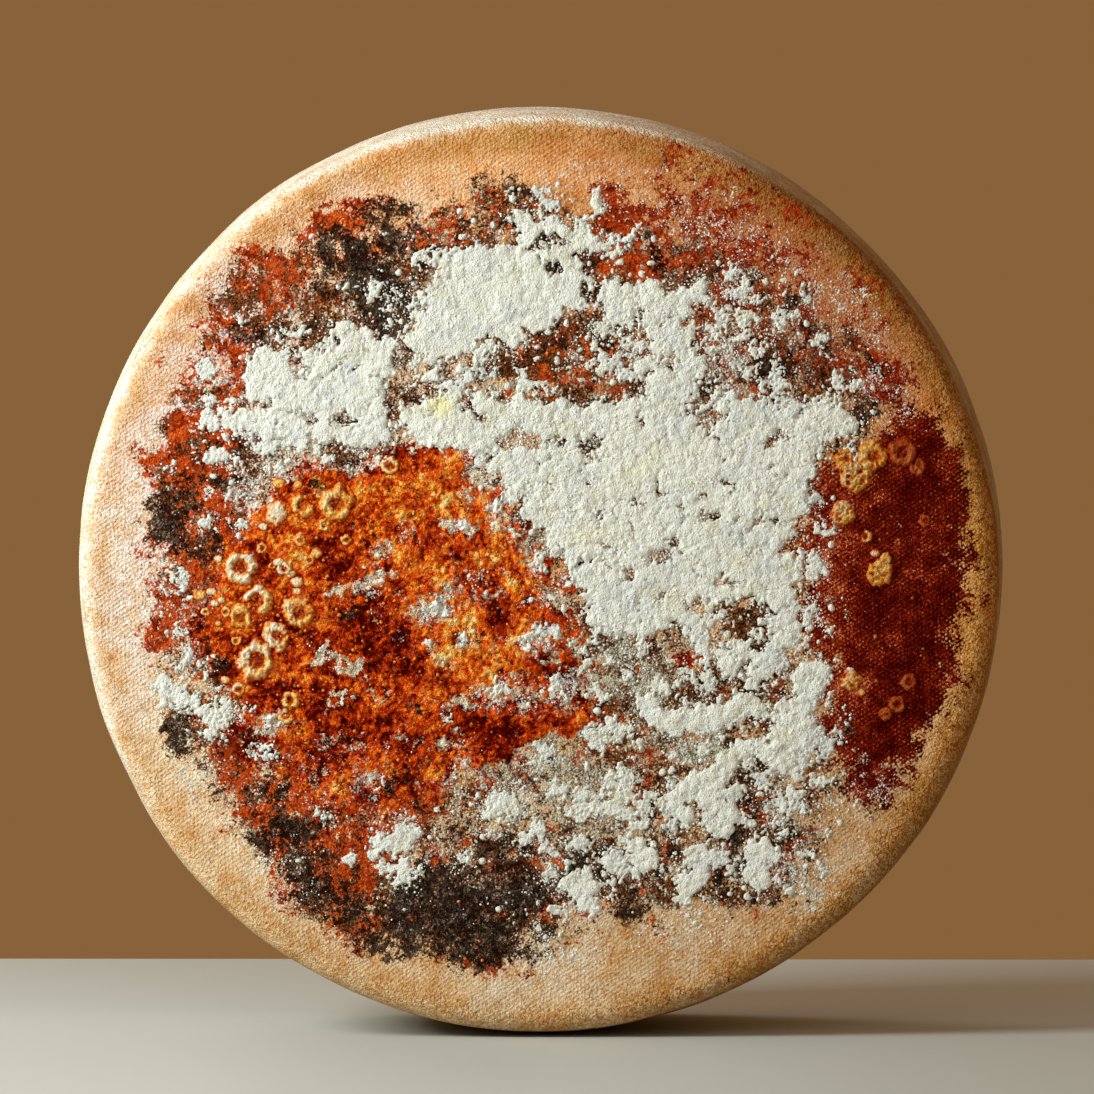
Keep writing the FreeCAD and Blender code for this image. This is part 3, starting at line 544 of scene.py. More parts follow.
def ground(x, y):
    """Cover of each ground colour at layout points: a dict of 0..1 fields."""
    ax, ay = warp(x, y, 9.0, 3.5, 41)
    bx, by = warp(x, y, 11.0, 4.0, 57)
    f = {}
    f["org"] = cover(*warp(x, y, 16.0, 6.0, 47), CRUST, CRUST_BLOBS, 24)
    f["gold"] = cover(bx, by, (), GOLD, 16)
    f["deep"] = np.maximum(cover(ax, ay, (), DEEP, 14), cover(ax, ay, (), CRIMSON, 40))
    f["red"] = cover(bx, by, (), RED, 26) * (0.93 + 0.36 * fbm(x, y, 20, 4, 133, 0.65))
    f["fld"] = cover(*warp(x, y, 11.0, 6.5, 71), FIELD, FIELD_BLOBS, 42)
    f["brn"] = cover(ax, ay, (), BROWN, 14)
    f["olv"] = cover(bx, by, (), OLIVE, 12)
    f["blk"] = cover(*warp(x, y, 9.0, 5.5, 91), (), BLACK, 24)
    f["blk"] *= 0.96 + 0.36 * fbm(x, y, 18, 4, 135, 0.65)
    f["gry"] = cover(ax, ay, (), GREY, 14)
    f["cream"] = np.maximum(cover(bx, by, (), CREAM, 12),
                            0.20 * f["org"] * (0.5 + 0.5 * fbm(x, y, 34, 3, 61)))
    f["gold"] = np.maximum(f["gold"], cover(bx, by, (), FIELD_BRIGHT, 26))
    inner = cover(*warp(x, y, 14.0, 5.0, 19), MOULDY, (), 16)
    free = inner * (1 - 0.92 * step(0.25, 0.7, f["org"])) * (1 - f["fld"])
    mottle = [0.5 + 0.5 * fbm(x, y, 30, 4, 121 + k) for k in range(5)]
    f["brn"] = np.maximum(f["brn"], free * (0.30 + 0.45 * mottle[0]))
    f["olv"] = np.maximum(f["olv"], free * (0.15 + 0.46 * mottle[1]))
    mats = cover(x, y, WHITE_MATS, (), 8)
    f["red"] = np.clip(np.maximum(f["red"], free * (0.10 + 0.46 * mottle[2]) * (1 - 0.75 * mats)), 0, 1)
    gaps = cover(*warp(x, y, 4.0, 3.4, 23), (), WHITE_GAPS, 8)
    f["blk"] = np.maximum(f["blk"], 0.55 * gaps * (1 - f["org"]))
    f["blk"] = np.clip(np.maximum(f["blk"], free * (0.20 + 0.40 * mottle[3] + 0.15 * mats)), 0, 0.95)
    f["gry"] = np.maximum(f["gry"], free * (0.08 + 0.30 * mottle[4]))
    moss = cover(bx, by, (), OLIVE, 12)
    f["blk"] *= 1 - 0.40 * moss
    f["brn"] *= 1 - 0.35 * moss
    f["inner"] = inner
    return f


# ------------------------------------------------------------- mesh building
def make_mesh(name, co, faces, material, floats=None, colours=None):
    """An object from points in mm and faces of three or four corners, smooth."""
    co = np.asarray(co, np.float64)
    sides = np.shape(faces)[1]
    used, faces = np.unique(np.asarray(faces, np.int64), return_inverse=True)
    faces = faces.reshape(-1, sides)
    co = co[used]
    me = bpy.data.meshes.new(name)
    me.vertices.add(len(co))
    me.vertices.foreach_set("co", (co * MM).astype(np.float32).ravel())
    me.loops.add(faces.size)
    me.loops.foreach_set("vertex_index", faces.astype(np.int32).ravel())
    me.polygons.add(len(faces))
    me.polygons.foreach_set("loop_start", np.arange(0, faces.size, sides, dtype=np.int32))
    me.polygons.foreach_set("loop_total", np.full(len(faces), sides, np.int32))
    me.update(calc_edges=True)
    me.polygons.foreach_set("use_smooth", np.ones(len(faces), bool))
    for key, data in (floats or {}).items():
        at = me.attributes.new(key, "FLOAT", "POINT")
        at.data.foreach_set("value", np.asarray(data)[used].astype(np.float32))
    for key, data in (colours or {}).items():
        at = me.attributes.new(key, "FLOAT_COLOR", "POINT")
        rgba = np.ones((len(used), 4), np.float32)
        rgba[:, :3] = np.asarray(data)[used]
        at.data.foreach_set("color", rgba.ravel())
    me.validate()
    ob = bpy.data.objects.new(name, me)
    bpy.context.scene.collection.objects.link(ob)
    me.materials.append(material)
    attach(ob, "root")
    return ob


def grid_faces(nu, nv):
    """Faces of an nu by nv lattice of points, anticlockwise in (u, v)."""
    i = np.arange(nu * nv).reshape(nv, nu)
    return np.stack([i[:-1, :-1], i[:-1, 1:], i[1:, 1:], i[1:, :-1]], -1).reshape(-1, 4)


def disc_points(radius, n):
    """A lattice of even cells that fills a disc, its rim a true circle."""
    t = np.linspace(-1, 1, n + 1)
    a, b = np.meshgrid(t, t)
    wide = np.abs(a) > np.abs(b)
    with np.errstate(divide="ignore", invalid="ignore"):
        r = np.where(wide, a, b)
        phi = np.where(wide, math.pi / 4 * b / a,
                       math.pi / 2 - math.pi / 4 * a / b)
    phi = np.nan_to_num(phi)
    return (radius * r * np.cos(phi)).ravel(), (radius * r * np.sin(phi)).ravel()


# ---------------------------------------------------------- the wheel's form
def half_profile():
    """(y, r) points from the front face, over the heel, to the back face."""
    y0, y1 = -HALF_T + FRONT_CROWN, HALF_T - BACK_CROWN
    chord, mid = (y1 - y0) / 2, (y0 + y1) / 2
    rh = (chord ** 2 + HEEL_BULGE ** 2) / (2 * HEEL_BULGE)
    pts = []

    def rounding(corner, face_dir, heel_dir, rad, back):
        # circle tangent to two nearly straight runs that meet at corner
        fd, hd = np.array(face_dir), np.array(heel_dir)
        fd, hd = fd / np.linalg.norm(fd), hd / np.linalg.norm(hd)
        ang = math.acos(float(np.clip(fd @ hd, -1, 1)))
        run = rad / math.tan(ang / 2)
        bis = (fd + hd) / np.linalg.norm(fd + hd)
        c = corner + bis * (rad / math.sin(ang / 2))
        p, q = corner + fd * run, corner + hd * run
        a, b = np.arctan2(*(p - c)[::-1]), np.arctan2(*(q - c)[::-1])
        if b - a > math.pi:
            b -= 2 * math.pi
        if a - b > math.pi:
            b += 2 * math.pi
        t = np.linspace(a, b, 11)
        arc = np.stack([c[0] + rad * np.cos(t), c[1] + rad * np.sin(t)], 1)
        return arc[::-1] if back else arc

    slope = chord / math.sqrt(rh * rh - chord * chord)
    front = rounding(np.array([y0, EDGE_R]), (-2 * FRONT_CROWN / EDGE_R, -1),
                     (1, slope), FRONT_ROUND, False)
    back = rounding(np.array([y1, EDGE_R]), (2 * BACK_CROWN / EDGE_R, -1),
                    (-1, slope), BACK_ROUND, True)
    heel_y = np.linspace(front[-1, 0], back[0, 0], 52)[1:-1]
    heel = np.stack([heel_y, WHEEL_R - rh + np.sqrt(rh * rh - (heel_y - mid) ** 2)], 1)
    return np.vstack([front, heel, back])


PROFILE = half_profile()
FACE_R = float(PROFILE[0, 1])     # where the front face meets its edge rounding
BACK_R = float(PROFILE[-1, 1])


def front_y(r):
    return -HALF_T + FRONT_CROWN * (r / EDGE_R) ** 2


def back_y(r):
    return HALF_T - BACK_CROWN * (r / EDGE_R) ** 2


def settle(x, y, z):
    """The wheel's own unevenness, one smooth field for all pieces, in mm.
    z is measured from the wheel's axis. Returns points with z from the floor."""
    r = np.hypot(x, z)
    th = np.degrees(np.arctan2(z, x)) % 360
    dr = (0.5 * np.exp(-((th - 127) / 6.0) ** 2)
          - 0.55 * np.exp(-((th - 207) / 5.0) ** 2)
          - 0.35 * np.exp(-((th - 48) / 14.0) ** 2)
          + 0.16 * np.sin(np.radians(3 * th + 40)) + 0.10 * np.sin(np.radians(7 * th)))
    dr = dr + 0.22 * fbm(x + 0.6 * y, z - 0.5 * y, 24, 3, 5)
    dr = dr * (r / WHEEL_R) ** 6
    s = np.where(r > 1e-6, (r + dr) / np.maximum(r, 1e-6), 1.0)
    dy = (np.abs(y) / HALF_T) ** 4 * 0.28 * fbm(x, z, 46, 3, 8)
    dy = dy * np.where(y < 0, 1.0, -0.8)
    x2, z2, y2 = x * s, z * s, y + dy
    return x2, y2, np.maximum(z2 + AXIS_Z, 0.0)


def on_front(u, v, h):
    """Points on the front face, h mm proud of it."""
    x, y, z = settle(u, front_y(np.hypot(u, v)), v)
    return np.stack([x, y - h, z], -1)


def on_back(u, v, h):
    x, y, z = settle(u, back_y(np.hypot(u, v)), v)
    return np.stack([x, y + h, z], -1)


# ------------------------------------------------------------------ materials
class Tree:
    """A small hand for building node trees."""

    def __init__(self, name):
        self.mat = bpy.data.materials.new(name)
        self.mat.use_nodes = True
        self.t = self.mat.node_tree
        self.t.nodes.clear()
        self.out = self.t.nodes.new("ShaderNodeOutputMaterial")
        self.bsdf = self.t.nodes.new("ShaderNodeBsdfPrincipled")
        self.t.links.new(self.bsdf.outputs[0], self.out.inputs["Surface"])
        co = self.t.nodes.new("ShaderNodeTexCoord")
        self.mm = self.vec("SCALE", co.outputs["Object"], scale=1000.0)

    def put(self, socket, value):
        if hasattr(value, "is_linked"):
            self.t.links.new(value, socket)
        elif isinstance(value, (tuple, list)):
            n = len(socket.default_value)
            socket.default_value = (tuple(value) + (1.0,) * 4)[:n]
        else:
            socket.default_value = value

    def vec(self, op, a, b=None, scale=None):
        n = self.t.nodes.new("ShaderNodeVectorMath")
        n.operation = op
        self.put(n.inputs[0], a)
        if b is not None:
            self.put(n.inputs[1], b)
        if scale is not None:
            n.inputs["Scale"].default_value = scale
        return n.outputs["Value"] if op in ("DOT_PRODUCT", "LENGTH") else n.outputs[0]

    def m(self, op, a, b=None, c=None, clamp=False):
        n = self.t.nodes.new("ShaderNodeMath")
        n.operation = op
        n.use_clamp = clamp
        for k, v in enumerate((a, b, c)):
            if v is not None:
                self.put(n.inputs[k], v)
        return n.outputs[0]

    def attr(self, name, colour=False):
        n = self.t.nodes.new("ShaderNodeAttribute")
        n.attribute_name = name
        return n.outputs["Color" if colour else "Fac"]

    def mix(self, f, a, b, mode="MIX"):
        n = self.t.nodes.new("ShaderNodeMix")
        n.data_type = "RGBA"
        n.blend_type = mode
        self.put(n.inputs[0], f)
        self.put(n.inputs[6], a)
        self.put(n.inputs[7], b)
        return n.outputs[2]

    def noise(self, size, detail=2.0, rough=0.6, move=(0, 0, 0), distort=0.0):
        n = self.t.nodes.new("ShaderNodeTexNoise")
        self.put(n.inputs["Vector"], self.vec("ADD", self.mm, move))
        n.inputs["Scale"].default_value = 1.0 / size
        n.inputs["Detail"].default_value = detail
        n.inputs["Roughness"].default_value = rough
        n.inputs["Distortion"].default_value = distort
        return n.outputs[0], n.outputs[1]

    def cells(self, size, move=(0, 0, 0), at=None):
        n = self.t.nodes.new("ShaderNodeTexVoronoi")
        self.put(n.inputs["Vector"], self.vec("ADD", at or self.mm, move))
        n.inputs["Scale"].default_value = 1.0 / size
        return n.outputs["Distance"], n.outputs["Color"]

    def split(self, colour):
        n = self.t.nodes.new("ShaderNodeSeparateColor")
        self.t.links.new(colour, n.inputs[0])
        return n.outputs[0], n.outputs[1], n.outputs[2]

    def ramp(self, f, lo, hi):
        """0 below lo, 1 above hi, smooth between."""
        n = self.t.nodes.new("ShaderNodeMapRange")
        n.interpolation_type = "SMOOTHSTEP"
        self.put(n.inputs[0], f)
        n.inputs[1].default_value = lo
        n.inputs[2].default_value = hi
        return n.outputs[0]

    def spots(self, p, q, sharp):
        """1 where cover p beats the random field q: a grainy patch."""
        return self.m("MULTIPLY_ADD", self.m("SUBTRACT", p, q), sharp, 0.5, clamp=True)

    def bump(self, height, strength=1.0):
        n = self.t.nodes.new("ShaderNodeBump")
        n.inputs["Distance"].default_value = MM
        n.inputs["Strength"].default_value = strength
        self.put(n.inputs["Height"], height)
        self.t.links.new(n.outputs[0], self.bsdf.inputs["Normal"])

    def finish(self, colour, rough, spec=0.25):
        self.put(self.bsdf.inputs["Base Color"], colour)
        self.put(self.bsdf.inputs["Roughness"], rough)
        self.bsdf.inputs["Specular IOR Level"].default_value = spec
        return self.mat


def stretched(t, colour, gain):
    """Widens a noise colour so that each channel fills 0..1."""
    v = t.vec("SUBTRACT", colour, (0.5, 0.5, 0.5))
    v = t.vec("SCALE", v, scale=gain)
    return t.vec("ADD", v, (0.5, 0.5, 0.5))


def grain_fields(t, size, clump, move, crisp=0.36):
    """Random fields for one layer: q mixes clumps of every scale with crisp
    grains, and m is a plain cloudy field. Also the grains' own bump."""
    _, many = t.noise(clump, 4.0, 0.68, move)
    _, mid = t.noise(size * 6.0, 2.0, 0.6, (move[1] + 31, move[2] - 7, move[0] + 3))
    many = stretched(t, many, 2.7)
    wob = t.vec("SCALE", t.vec("SUBTRACT", many, (0.5, 0.5, 0.5)), scale=size * 0.5)
    dist, cell = t.cells(size, move, t.vec("ADD", t.mm, wob))
    q = t.vec("ADD", t.vec("SCALE", cell, scale=crisp), t.vec("SCALE", many, scale=1 - crisp))
    return t.split(stretched(t, q, 1.2)), t.split(cell), t.split(stretched(t, mid, 2.2)), dist


def ramp_colours(t, f, stops):
    n = t.t.nodes.new("ShaderNodeValToRGB")
    r = n.color_ramp
    while len(r.elements) < len(stops):
        r.elements.new(0.5)
    for e, (at, c) in zip(r.elements, stops):
        e.position, e.color = at, tuple(c) + (1,)
    t.put(n.inputs[0], f)
    return n.outputs[0]


def rind_material():
    t = Tree("natural_rind")
    (q1, q2, q3), (c1, c2, c3), (m1, m2, m3), dist = grain_fields(t, 0.62, 7.0, (3, 11, 7))
    (q4, q5, q6), (c4, c5, c6), (m4, m5, m6), dist2 = grain_fields(t, 0.50, 5.0, (41, 5, 29))
    (q7, q8, q9), (c7, c8, c9), _m, dist3 = grain_fields(t, 0.33, 2.2, (7, 61, 19), 0.6)
    wide = stretched(t, t.noise(12.0, 3.0, 0.60, (15, 3, 27))[1], 2.8)
    w1, w2, w3 = t.split(wide)
    # flakes: patches of one colour each, with crisp ragged borders
    tear = t.vec("SUBTRACT", t.noise(1.5, 3.0, 0.65, (4, 44, 14))[1], (0.5, 0.5, 0.5))
    _, patch = t.cells(2.7, (5, 9, 2), t.vec("ADD", t.mm, t.vec("SCALE", tear, scale=1.9)))
    _, fleck = t.cells(1.15, (15, 2, 8), t.vec("ADD", t.mm, t.vec("SCALE", tear, scale=0.9)))
    p1, p2, p3 = t.split(patch)
    f1, f2, f3 = t.split(fleck)
    A = {k: t.attr(k) for k in ("red", "org", "gold", "deep", "fld", "brn", "olv",
                                "gry", "blk", "wht", "cloth", "rel", "cream", "fuzz")}

    # the cloth print: threads on a slant, broken by the crossing ones
    wx = t.noise(5.0, 2.0, 0.75, (9, 9, 9))[1]
    pos = t.vec("ADD", t.mm, t.vec("SCALE", t.vec("SUBTRACT", wx, (.5, .5, .5)), scale=1.2))
    a = math.radians(WEAVE_DEG)
    across = t.vec("DOT_PRODUCT", pos, (-math.sin(a), 0.35, math.cos(a)))
    along = t.vec("DOT_PRODUCT", pos, (math.cos(a), 0.5, math.sin(a)))
    line = t.m("MULTIPLY", across, 1 / PITCH)
    row = t.m("FLOOR", t.m("ADD", line, 0.5))
    thread = t.m("MULTIPLY_ADD", t.m("COSINE", t.m("MULTIPLY", line, 2 * math.pi)), 0.5, 0.5)
    stitch = t.m("MULTIPLY_ADD",
                 t.m("COSINE", t.m("ADD", t.m("MULTIPLY", along, 2 * math.pi / 1.25),
                                   t.m("MULTIPLY", row, math.pi * 0.9))), 0.5, 0.5)
    weave = t.m("MULTIPLY", thread, t.m("MULTIPLY_ADD", stitch, 0.80, 0.20))
    cloth = t.m("MULTIPLY", A["cloth"], t.m("MULTIPLY_ADD", t.ramp(m4, 0.1, 0.9), 0.6, 0.4))

    col = t.attr("ring", True)
    tan = t.mix(1.0, col, (0.92, 0.72, 0.48), "MULTIPLY")
    col = t.mix(t.m("MULTIPLY", t.ramp(q1, 0.46, 0.72), 0.78), col, tan)
    col = t.mix(t.m("MULTIPLY", t.ramp(q5, 0.52, 0.76), 0.66), col,
                t.mix(1.0, col, (1.12, 1.23, 1.38), "MULTIPLY"))
    # the cloth print is darker and browner in its grooves than on the thread tops
    low = t.m("MULTIPLY", t.m("SUBTRACT", 1.0, weave), t.m("MULTIPLY", cloth, 0.42))
    col = t.mix(low, col, t.mix(1.0, col, (0.78, 0.62, 0.44), "MULTIPLY"))
    col = t.mix(t.m("MULTIPLY", t.ramp(t.m("MULTIPLY_ADD", q7, 0.6, t.m("MULTIPLY", c1, 0.4)), 0.56, 0.74), 0.62),
                col, t.mix(1.0, col, (0.66, 0.46, 0.27), "MULTIPLY"))
    col = t.mix(t.m("MULTIPLY", t.ramp(t.m("MULTIPLY_ADD", q8, 0.6, t.m("MULTIPLY", c5, 0.4)), 0.60, 0.78), 0.55),
                col, t.mix(1.0, col, (1.20, 1.30, 1.44), "MULTIPLY"))
    # ochre fuzz at the very edge: dark and bright tufts
    col = t.mix(t.m("MULTIPLY", A["fuzz"], t.ramp(t.m("MULTIPLY_ADD", q9, 0.5, t.m("MULTIPLY", c2, 0.5)), 0.46, 0.62)),
                col, t.mix(1.0, col, (0.58, 0.42, 0.22), "MULTIPLY"))
    col = t.mix(t.m("MULTIPLY", A["fuzz"], t.ramp(t.m("MULTIPLY_ADD", q7, 0.5, t.m("MULTIPLY", c3, 0.5)), 0.52, 0.70)),
                col, t.mix(1.0, col, (1.30, 1.22, 0.90), "MULTIPLY"))

    def lay(col, p, q, sharp, dark, light, f, most=1.0):
        k = t.spots(t.m("MULTIPLY_ADD", p, 1.12, -0.08), q, sharp)
        k = t.m("MULTIPLY", k, most) if most < 1 else k
        return t.mix(k, col, t.mix(f, dark, light))

    col = lay(col, A["olv"], q4, 5, (0.12, 0.088, 0.034), (0.66, 0.64, 0.50), t.ramp(q7, 0.1, 0.8))
    col = lay(col, A["brn"], q5, 5, (0.020, 0.0045, 0.001), (0.24, 0.080, 0.024), t.ramp(q8, 0.1, 0.95))
    # rust grains gather in the cloth's grooves where they are thin
    qr = t.m("MULTIPLY_ADD", q2, 0.74, t.m("MULTIPLY_ADD", f2, 0.30, -0.02))
    qr = t.m("MULTIPLY_ADD", t.m("MULTIPLY", weave, cloth), 0.20, qr)
    rust = ramp_colours(t, t.m("MULTIPLY_ADD", q6, 0.45, t.m("MULTIPLY_ADD", c7, 0.25, t.m("MULTIPLY", f3, 0.30))), [
        (0.00, (0.035, 0.002, 0.0005)), (0.30, (0.170, 0.012, 0.002)),
        (0.60, (0.500, 0.058, 0.008)), (0.85, (0.760, 0.150, 0.020)),
        (1.00, (0.840, 0.340, 0.090))])
    rust = t.mix(A["deep"], rust, t.mix(1.0, rust, (0.56, 0.34, 0.44), "MULTIPLY"))
    col = t.mix(t.spots(t.m("MULTIPLY_ADD", A["red"], 1.12, -0.08), qr, 7), col, rust)

    up = t.m("MULTIPLY_ADD", A["gold"], 0.36, t.m("MULTIPLY", A["deep"], -0.24))
    up = t.m("ADD", up, t.m("MULTIPLY_ADD", w1, 0.38, -0.312))
    qc = t.m("MULTIPLY_ADD", q1, 0.36, t.m("MULTIPLY_ADD", c7, 0.18, 0.00))
    qc = t.m("ADD", qc, t.m("MULTIPLY_ADD", p1, 0.25, t.m("MULTIPLY_ADD", f1, 0.25, -0.03)))
    qc = t.m("ADD", t.m("ADD", qc, up), t.m("MULTIPLY", A["rel"], 0.16))
    qc = t.m("MULTIPLY_ADD", qc, 1.28, -0.18)
    crust = ramp_colours(t, qc, [
        (0.00, (0.055, 0.0020, 0.0005)), (0.18, (0.150, 0.0058, 0.0009)),
        (0.31, (0.330, 0.0200, 0.0024)), (0.45, (0.540, 0.0500, 0.0050)),
        (0.61, (0.700, 0.1050, 0.0085)), (0.79, (0.800, 0.2400, 0.0190)),
        (0.93, (0.850, 0.4300, 0.0650)), (1.00, (0.880, 0.6200, 0.2300))])
    crust = t.mix(t.m("MULTIPLY", t.ramp(t.m("MULTIPLY_ADD", q5, 0.6, t.m("MULTIPLY", f2, 0.4)), 0.74, 0.82), 0.88), crust, (0.022, 0.004, 0.0012))
    k = t.spots(t.m("MULTIPLY_ADD", A["org"], 1.35, -0.14), q3, 6)
    col = t.mix(k, col, crust)
    # cream and grey films over the crust, pricked with dark specks
    kc = t.spots(t.m("MULTIPLY_ADD", A["cream"], 1.1, -0.06), t.m("MULTIPLY_ADD", q4, 0.52, t.m("MULTIPLY_ADD", p2, 0.26, t.m("MULTIPLY_ADD", f2, 0.24, 0.0))), 8)
    cream = ramp_colours(t, t.m("MULTIPLY_ADD", q8, 0.75, t.m("MULTIPLY", c4, 0.25)), [
        (0.00, (0.050, 0.014, 0.004)), (0.20, (0.320, 0.170, 0.060)),
        (0.42, (0.600, 0.510, 0.330)), (0.68, (0.760, 0.730, 0.610)),
        (1.00, (0.860, 0.850, 0.770))])
    col = t.mix(t.m("MULTIPLY", kc, 0.94), col, cream)

    fin = t.m("MULTIPLY_ADD", weave, 0.25, t.m("MULTIPLY_ADD", q4, 0.56, t.m("MULTIPLY", c8, 0.40)))
    fin = t.m("ADD", fin, t.m("MULTIPLY_ADD", A["gold"], 0.26, t.m("MULTIPLY_ADD", w3, 0.22, -0.215)))
    field = ramp_colours(t, fin, [
        (0.00, (0.012, 0.0004, 0.0002)), (0.30, (0.052, 0.0016, 0.0006)),
        (0.52, (0.115, 0.0050, 0.0016)), (0.72, (0.230, 0.0190, 0.0050)),
        (0.88, (0.430, 0.0700, 0.0220)), (1.00, (0.660, 0.2200, 0.0900))])
    qf = t.m("MULTIPLY_ADD", weave, 0.22, t.m("MULTIPLY", q2, 0.88))
    col = t.mix(t.spots(t.m("MULTIPLY_ADD", A["fld"], 1.30, -0.12), qf, 6), col, field)
    col = lay(col, t.m("MULTIPLY", A["gry"], 0.72), q3, 5, (0.20, 0.16, 0.11), (0.74, 0.72, 0.64),
              t.ramp(q8, 0.05, 0.8))
    soot = ramp_colours(t, t.m("MULTIPLY_ADD", q8, 0.45, t.m("MULTIPLY_ADD", q2, 0.30, t.m("MULTIPLY", f1, 0.25))), [
        (0.00, (0.002, 0.0010, 0.0005)), (0.40, (0.007, 0.0045, 0.0030)),
        (0.56, (0.030, 0.0180, 0.0105)), (0.70, (0.110, 0.0780, 0.0560)),
        (0.83, (0.330, 0.2640, 0.2000)), (1.00, (0.640, 0.5800, 0.4800))])
    # thin soot is browner
    soot = t.mix(t.ramp(A["blk"], 0.40, 1.00), t.mix(1.0, soot, (1.75, 0.95, 0.60), "MULTIPLY"), soot)
    col = t.mix(t.m("MULTIPLY", t.spots(t.m("MULTIPLY_ADD", A["blk"], 1.12, -0.08), t.m("MULTIPLY_ADD", q6, 0.80, t.m("MULTIPLY", f3, 0.22)), 7), 0.97),
                col, soot)
    col = lay(col, A["wht"], q9, 9, (0.62, 0.58, 0.48), (0.86, 0.85, 0.78), c8)

    rough_zone = t.m("SUBTRACT", 1.0, t.m("MULTIPLY", A["cloth"], 0.55))
    rough_zone = t.m("MULTIPLY_ADD", A["fuzz"], 0.7, rough_zone)
    knap = t.noise(1.25, 3.0, 0.66, (21, 9, 33))[0]
    pebble = t.cells(0.60, (3, 11, 7))[0]
    h = t.m("MULTIPLY_ADD", knap, 1.05, t.m("MULTIPLY", t.m("SUBTRACT", 1.0, pebble), 0.30))
    h = t.m("MULTIPLY", h, rough_zone)
    h = t.m("ADD", h, t.m("MULTIPLY", weave, t.m("MULTIPLY_ADD", A["fld"], 0.12,
                                                 t.m("MULTIPLY", A["cloth"], 0.13))))
    t.bump(h)
    return t.finish(col, 0.92, 0.0)


def white_material():
    t = Tree("white_mould")
    (q1, q2, q3), (c1, c2, c3), (m1, m2, m3), dist = grain_fields(t, 0.50, 4.5, (13, 1, 47))
    (q4, q5, q6), (c4, c5, c6), _m, dist2 = grain_fields(t, 0.30, 2.0, (3, 21, 37), 0.5)
    thin_and_hollow_shade = t.attr("thin_and_hollow_shade")
    lemon = t.attr("lemon")
    w1, w2, w3 = t.split(stretched(t, t.noise(9.0, 4.0, 0.6, (33, 13, 3))[1], 2.6))
    col = t.mix(t.ramp(m1, 0.1, 0.9), (0.760, 0.770, 0.675), (0.835, 0.842, 0.765))
    col = t.mix(t.m("MULTIPLY", t.ramp(w1, 0.55, 0.95), 0.62), col, (0.60, 0.635, 0.640))
    col = t.mix(t.m("MULTIPLY", t.ramp(w2, 0.60, 0.95), 0.55), col, (0.68, 0.65, 0.46))
    col = t.mix(t.m("MULTIPLY", t.ramp(q1, 0.50, 0.95), 0.45), col, (0.68, 0.71, 0.69))
    col = t.mix(t.m("MULTIPLY", t.ramp(m3, 0.62, 1.0), 0.45), col, (0.83, 0.79, 0.60))
    col = t.mix(t.m("MULTIPLY", lemon, 0.85), col, (0.86, 0.81, 0.38))
    # greyer where the white is thin, and also in the low hollows between its caps as painted shade
    col = t.mix(t.m("MULTIPLY", t.spots(t.m("MULTIPLY", thin_and_hollow_shade, 0.8), q2, 3.0), 0.40), col, (0.64, 0.63, 0.55))
    col = t.mix(t.m("MULTIPLY", t.ramp(q4, 0.70, 0.95), 0.30), col, (0.55, 0.54, 0.47))
    # painted shade: pits are small dark specks standing for the shade in the crevices between the white's granules,
    # laid by noise
    pits = t.m("MULTIPLY", t.ramp(q5, 0.74, 0.86), t.ramp(m2, 0.42, 0.85))
    col = t.mix(t.m("MULTIPLY", pits, 0.75), col, (0.26, 0.22, 0.15))
    # dark specks where the white is thinnest: the dark ground showing through, and in the low hollows painted shade
    col = t.mix(t.m("MULTIPLY", t.spots(t.m("MULTIPLY_ADD", thin_and_hollow_shade, 0.46, -0.14), q3, 9), 0.85),
                col, (0.085, 0.050, 0.024))
    knap = t.noise(1.1, 4.0, 0.68, (11, 29, 3))[0]
    pebble = t.cells(0.48, (13, 1, 47))[0]
    t.bump(t.m("MULTIPLY_ADD", knap, 0.62, t.m("MULTIPLY", t.m("SUBTRACT", 1.0, pebble), 0.20)))
    return t.finish(col, 0.95, 0.0)


